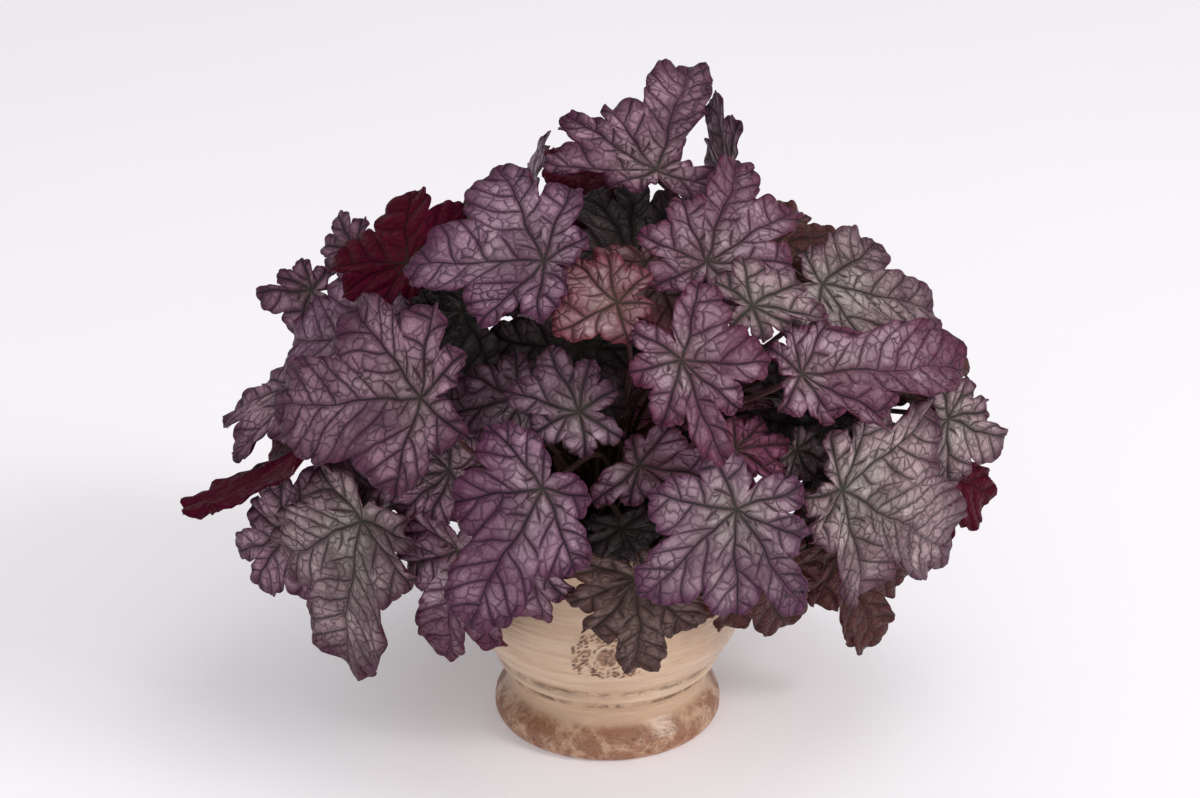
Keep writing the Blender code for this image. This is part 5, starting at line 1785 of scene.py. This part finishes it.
def glaze_paint():
    material, tree, shader, place = new_material("glaze_paint")
    height = height_of(tree, place)
    brushed = stretched(tree, place, 9.0)
    streaks = noise(tree, brushed, 16.0, 5.0, 0.6)
    fine_streaks = noise(tree, brushed, 70.0, 4.0, 0.6)
    speckle = noise(tree, place, 420.0, 5.0, 0.7)
    blotches = noise(tree, place, 70.0, 6.0, 0.75, 0.3)
    colour = brushed_glaze(tree, place, height, streaks, fine_streaks)
    foot = larger(tree, band(tree, height, *FOOT_BAND), band(tree, height, *FOOT_LIP_BAND))
    grooves = larger(tree, band(tree, height, *LOWER_GROOVE_BAND), band(tree, height, *UPPER_GROOVE_BAND))
    worn = times(tree, foot, between(tree, blotches, 0.36, 0.56))
    colour = blended(tree, times(tree, worn, 0.85), colour, BROWN)
    dark = times(tree, foot, between(tree, speckle, 0.54, 0.70))
    dark = times(tree, dark, between(tree, blotches, 0.38, 0.54))
    dark = larger(tree, dark, times(tree, grooves, between(tree, blotches, 0.40, 0.60)))
    relief = add_node(tree, "Attribute", {"attribute_name": "relief"}).outputs["Fac"]
    on_patch = between(tree, relief, 0.02, 0.5)
    dark = larger(tree, dark, times(tree, on_patch, between(tree, speckle, 0.46, 0.60)))
    colour = blended(tree, times(tree, on_patch, 0.75), colour, BROWN)
    colour = blended(tree, times(tree, dark, 0.8), colour, DARK_BROWN)
    gloss = calc(tree, "MULTIPLY_ADD", worn, 0.25, between(tree, streaks, 0.3, 0.7, 0.22, 0.38))
    depth = calc(tree, "MULTIPLY_ADD", fine_streaks, 0.6, times(tree, blotches, 0.6))
    depth = calc(tree, "MULTIPLY_ADD", dark, -0.35, depth)
    feed_shader(tree, shader, colour, gloss, depth, 0.45, 0.0009)
    shader.inputs["Coat Weight"].default_value = 0.25
    shader.inputs["Coat Roughness"].default_value = 0.18
    return material


pot = make_pot(glaze_paint())
print("pot faces:", len(pot.data.polygons))

# %% [markdown]
# ## The potting mix
# Under the leaves the pot is full of dark, crumbly mix. Its plain solid already has a hole for each stalk,
# so it is kept, and its finish makes the crumbs: lumps of bark and peat with pale bits between, and bumps
# to match.

# %% The mix's finish
BARK, PEAT, PALE_BITS = from_srgb(74, 56, 42), from_srgb(34, 26, 20), from_srgb(110, 88, 66)


def mix_paint():
    material, tree, shader, place = new_material("mix_paint")
    lumps = add_node(tree, "TexVoronoi", (), Vector=place, Scale=260.0).outputs["Distance"]
    grit = noise(tree, place, 900.0, 4.0, 0.7)
    colour = blended(tree, lumps, BARK, PEAT)
    colour = blended(tree, between(tree, grit, 0.55, 0.75, 0.0, 0.6), colour, PALE_BITS)
    feed_shader(tree, shader, colour, between(tree, grit, 0.3, 0.7, 0.8, 0.98), lumps, 0.9, 0.0016)
    return material


mix_finish = mix_paint()
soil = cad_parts["soil"]
soil.data.materials.clear()
soil.data.materials.append(mix_finish)
print("soil faces:", len(soil.data.polygons))

# %% [markdown]
# A finish alone leaves the mix flat, so loose crumbs lie on top of it. Each one starts as eight triangles
# round six corners, and every corner is moved at random, so that no two crumbs are alike.

# %% Loose crumbs on the mix
CRUMBS = 420
CRUMB_SIZES = (0.8, 2.4)
CRUMB_UNEVENNESS = (0.6, 1.1)
CRUMB_REACH = 61.0
CRUMB_LIFT = 0.2
ROOM_FOR_STALK = 2.2
CRUMB_CORNERS = ((1, 0, 0), (0, 1, 0), (-1, 0, 0), (0, -1, 0), (0, 0, 1), (0, 0, -1))
CRUMB_SIDES = ((0, 1, 4), (1, 2, 4), (2, 3, 4), (3, 0, 4), (1, 0, 5), (2, 1, 5), (3, 2, 5), (0, 3, 5))


def make_crumbs():
    """Small uneven lumps lying on the mix, clear of the stalks."""
    rng = random.Random("crumbs")
    points, faces = [], []
    made = 0
    while made < CRUMBS:
        radius, angle = CRUMB_REACH * math.sqrt(rng.random()), rng.uniform(0, 2 * math.pi)
        size = rng.uniform(*CRUMB_SIZES)
        lift = soil_height(radius) + size * CRUMB_LIFT
        middle = np.array([radius * math.cos(angle), radius * math.sin(angle), lift])
        if any(np.hypot(*(middle - blade["seat"])[:2]) < size + ROOM_FOR_STALK for blade in blades):
            continue
        first = len(points)
        for corner in CRUMB_CORNERS:
            uneven = np.array([rng.uniform(*CRUMB_UNEVENNESS) for _ in range(3)])
            points.append(middle + np.array(corner) * size * uneven)
        faces += [tuple(first + c for c in side) for side in CRUMB_SIDES]
        made += 1
    mesh = bpy.data.meshes.new("mix_crumbs")
    mesh.from_pydata([tuple(p * MM) for p in points], [], faces)
    mesh.materials.append(mix_finish)
    crumbs = add_object("mix_crumbs", mesh)
    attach(crumbs, "root")
    return crumbs


crumbs = make_crumbs()
print("crumbs:", CRUMBS, "with", len(crumbs.data.polygons), "faces")

# %% [markdown]
# ## Floor and light
# The plant stands on a plain pale floor that reaches past the picture on all sides. The floor glows a
# little by itself, so that it stays nearly white also where less light falls on it, and yet keeps its
# shadow.

# %% The floor
FLOOR_HALF_SIZE = 6.0
FLOOR_GLOW = 0.19
FLOOR_GAP = 0.0004
FLOOR_SHADE, FLOOR_WHITE = from_srgb(246, 242, 246), from_srgb(251, 248, 251)


def make_floor():
    material, tree, shader, place = new_material("floor_paint")
    colour = blended(tree, noise(tree, place, 1.4, 2.0), FLOOR_SHADE, FLOOR_WHITE)
    tree.links.new(colour, shader.inputs["Base Color"])
    tree.links.new(colour, shader.inputs["Emission Color"])
    shader.inputs["Emission Strength"].default_value = FLOOR_GLOW
    shader.inputs["Roughness"].default_value = 0.7
    shader.inputs["Specular IOR Level"].default_value = 0.2
    size = FLOOR_HALF_SIZE
    mesh = bpy.data.meshes.new("floor")
    corners = [(-size, -size, 0), (size, -size, 0), (size, size, 0), (-size, size, 0)]
    mesh.from_pydata(corners, [], [(0, 1, 2, 3)])
    mesh.materials.append(material)
    floor = add_object("floor", mesh)
    floor.location.z = solid_low.z - FLOOR_GAP
    return floor


floor = make_floor()
print("floor", 2 * FLOOR_HALF_SIZE, "m wide")

# %% [markdown]
# Large soft lamps give gentle shadows. The strongest is high at the right, so the shadow falls softly to
# the left of the pot. Two weak ones lift the top and the front, and a pale surrounding light fills the
# rest.

# %% The lamps
LAMP_TARGET = (0.0, 0.0, 0.17)
# Each lamp is its name, its place, its size in metres, its power in watts and its colour.
LAMPS = (
    ("key", (4.6, -2.3, 3.4), 2.0, 148.0, (1.0, 0.985, 0.97)),
    ("top", (0.3, -0.5, 2.2), 1.2, 7.0, (1.0, 1.0, 1.0)),
    ("front", (-0.6, -1.9, 1.0), 1.3, 3.5, (0.98, 0.99, 1.0)),
)
SKY_COLOUR = (1.0, 1.0, 1.02, 1.0)
SKY_STRENGTH = 0.53


def make_lamp(name, place, size, power, colour):
    data = bpy.data.lights.new(name, "AREA")
    data.size = size
    data.energy = power
    data.color = colour
    lamp = add_object(name, data)
    lamp.location = place
    lamp.rotation_euler = (Vector(LAMP_TARGET) - Vector(place)).to_track_quat("-Z", "Y").to_euler()
    return lamp


def make_sky():
    world = bpy.data.worlds.new("studio")
    world.use_nodes = True
    background = world.node_tree.nodes["Background"]
    background.inputs["Color"].default_value = SKY_COLOUR
    background.inputs["Strength"].default_value = SKY_STRENGTH
    bpy.context.scene.world = world


lamps = [make_lamp(*settings) for settings in LAMPS]
make_sky()
bpy.context.scene.view_settings.view_transform = "Standard"
print("lamps:", [lamp.name for lamp in lamps])
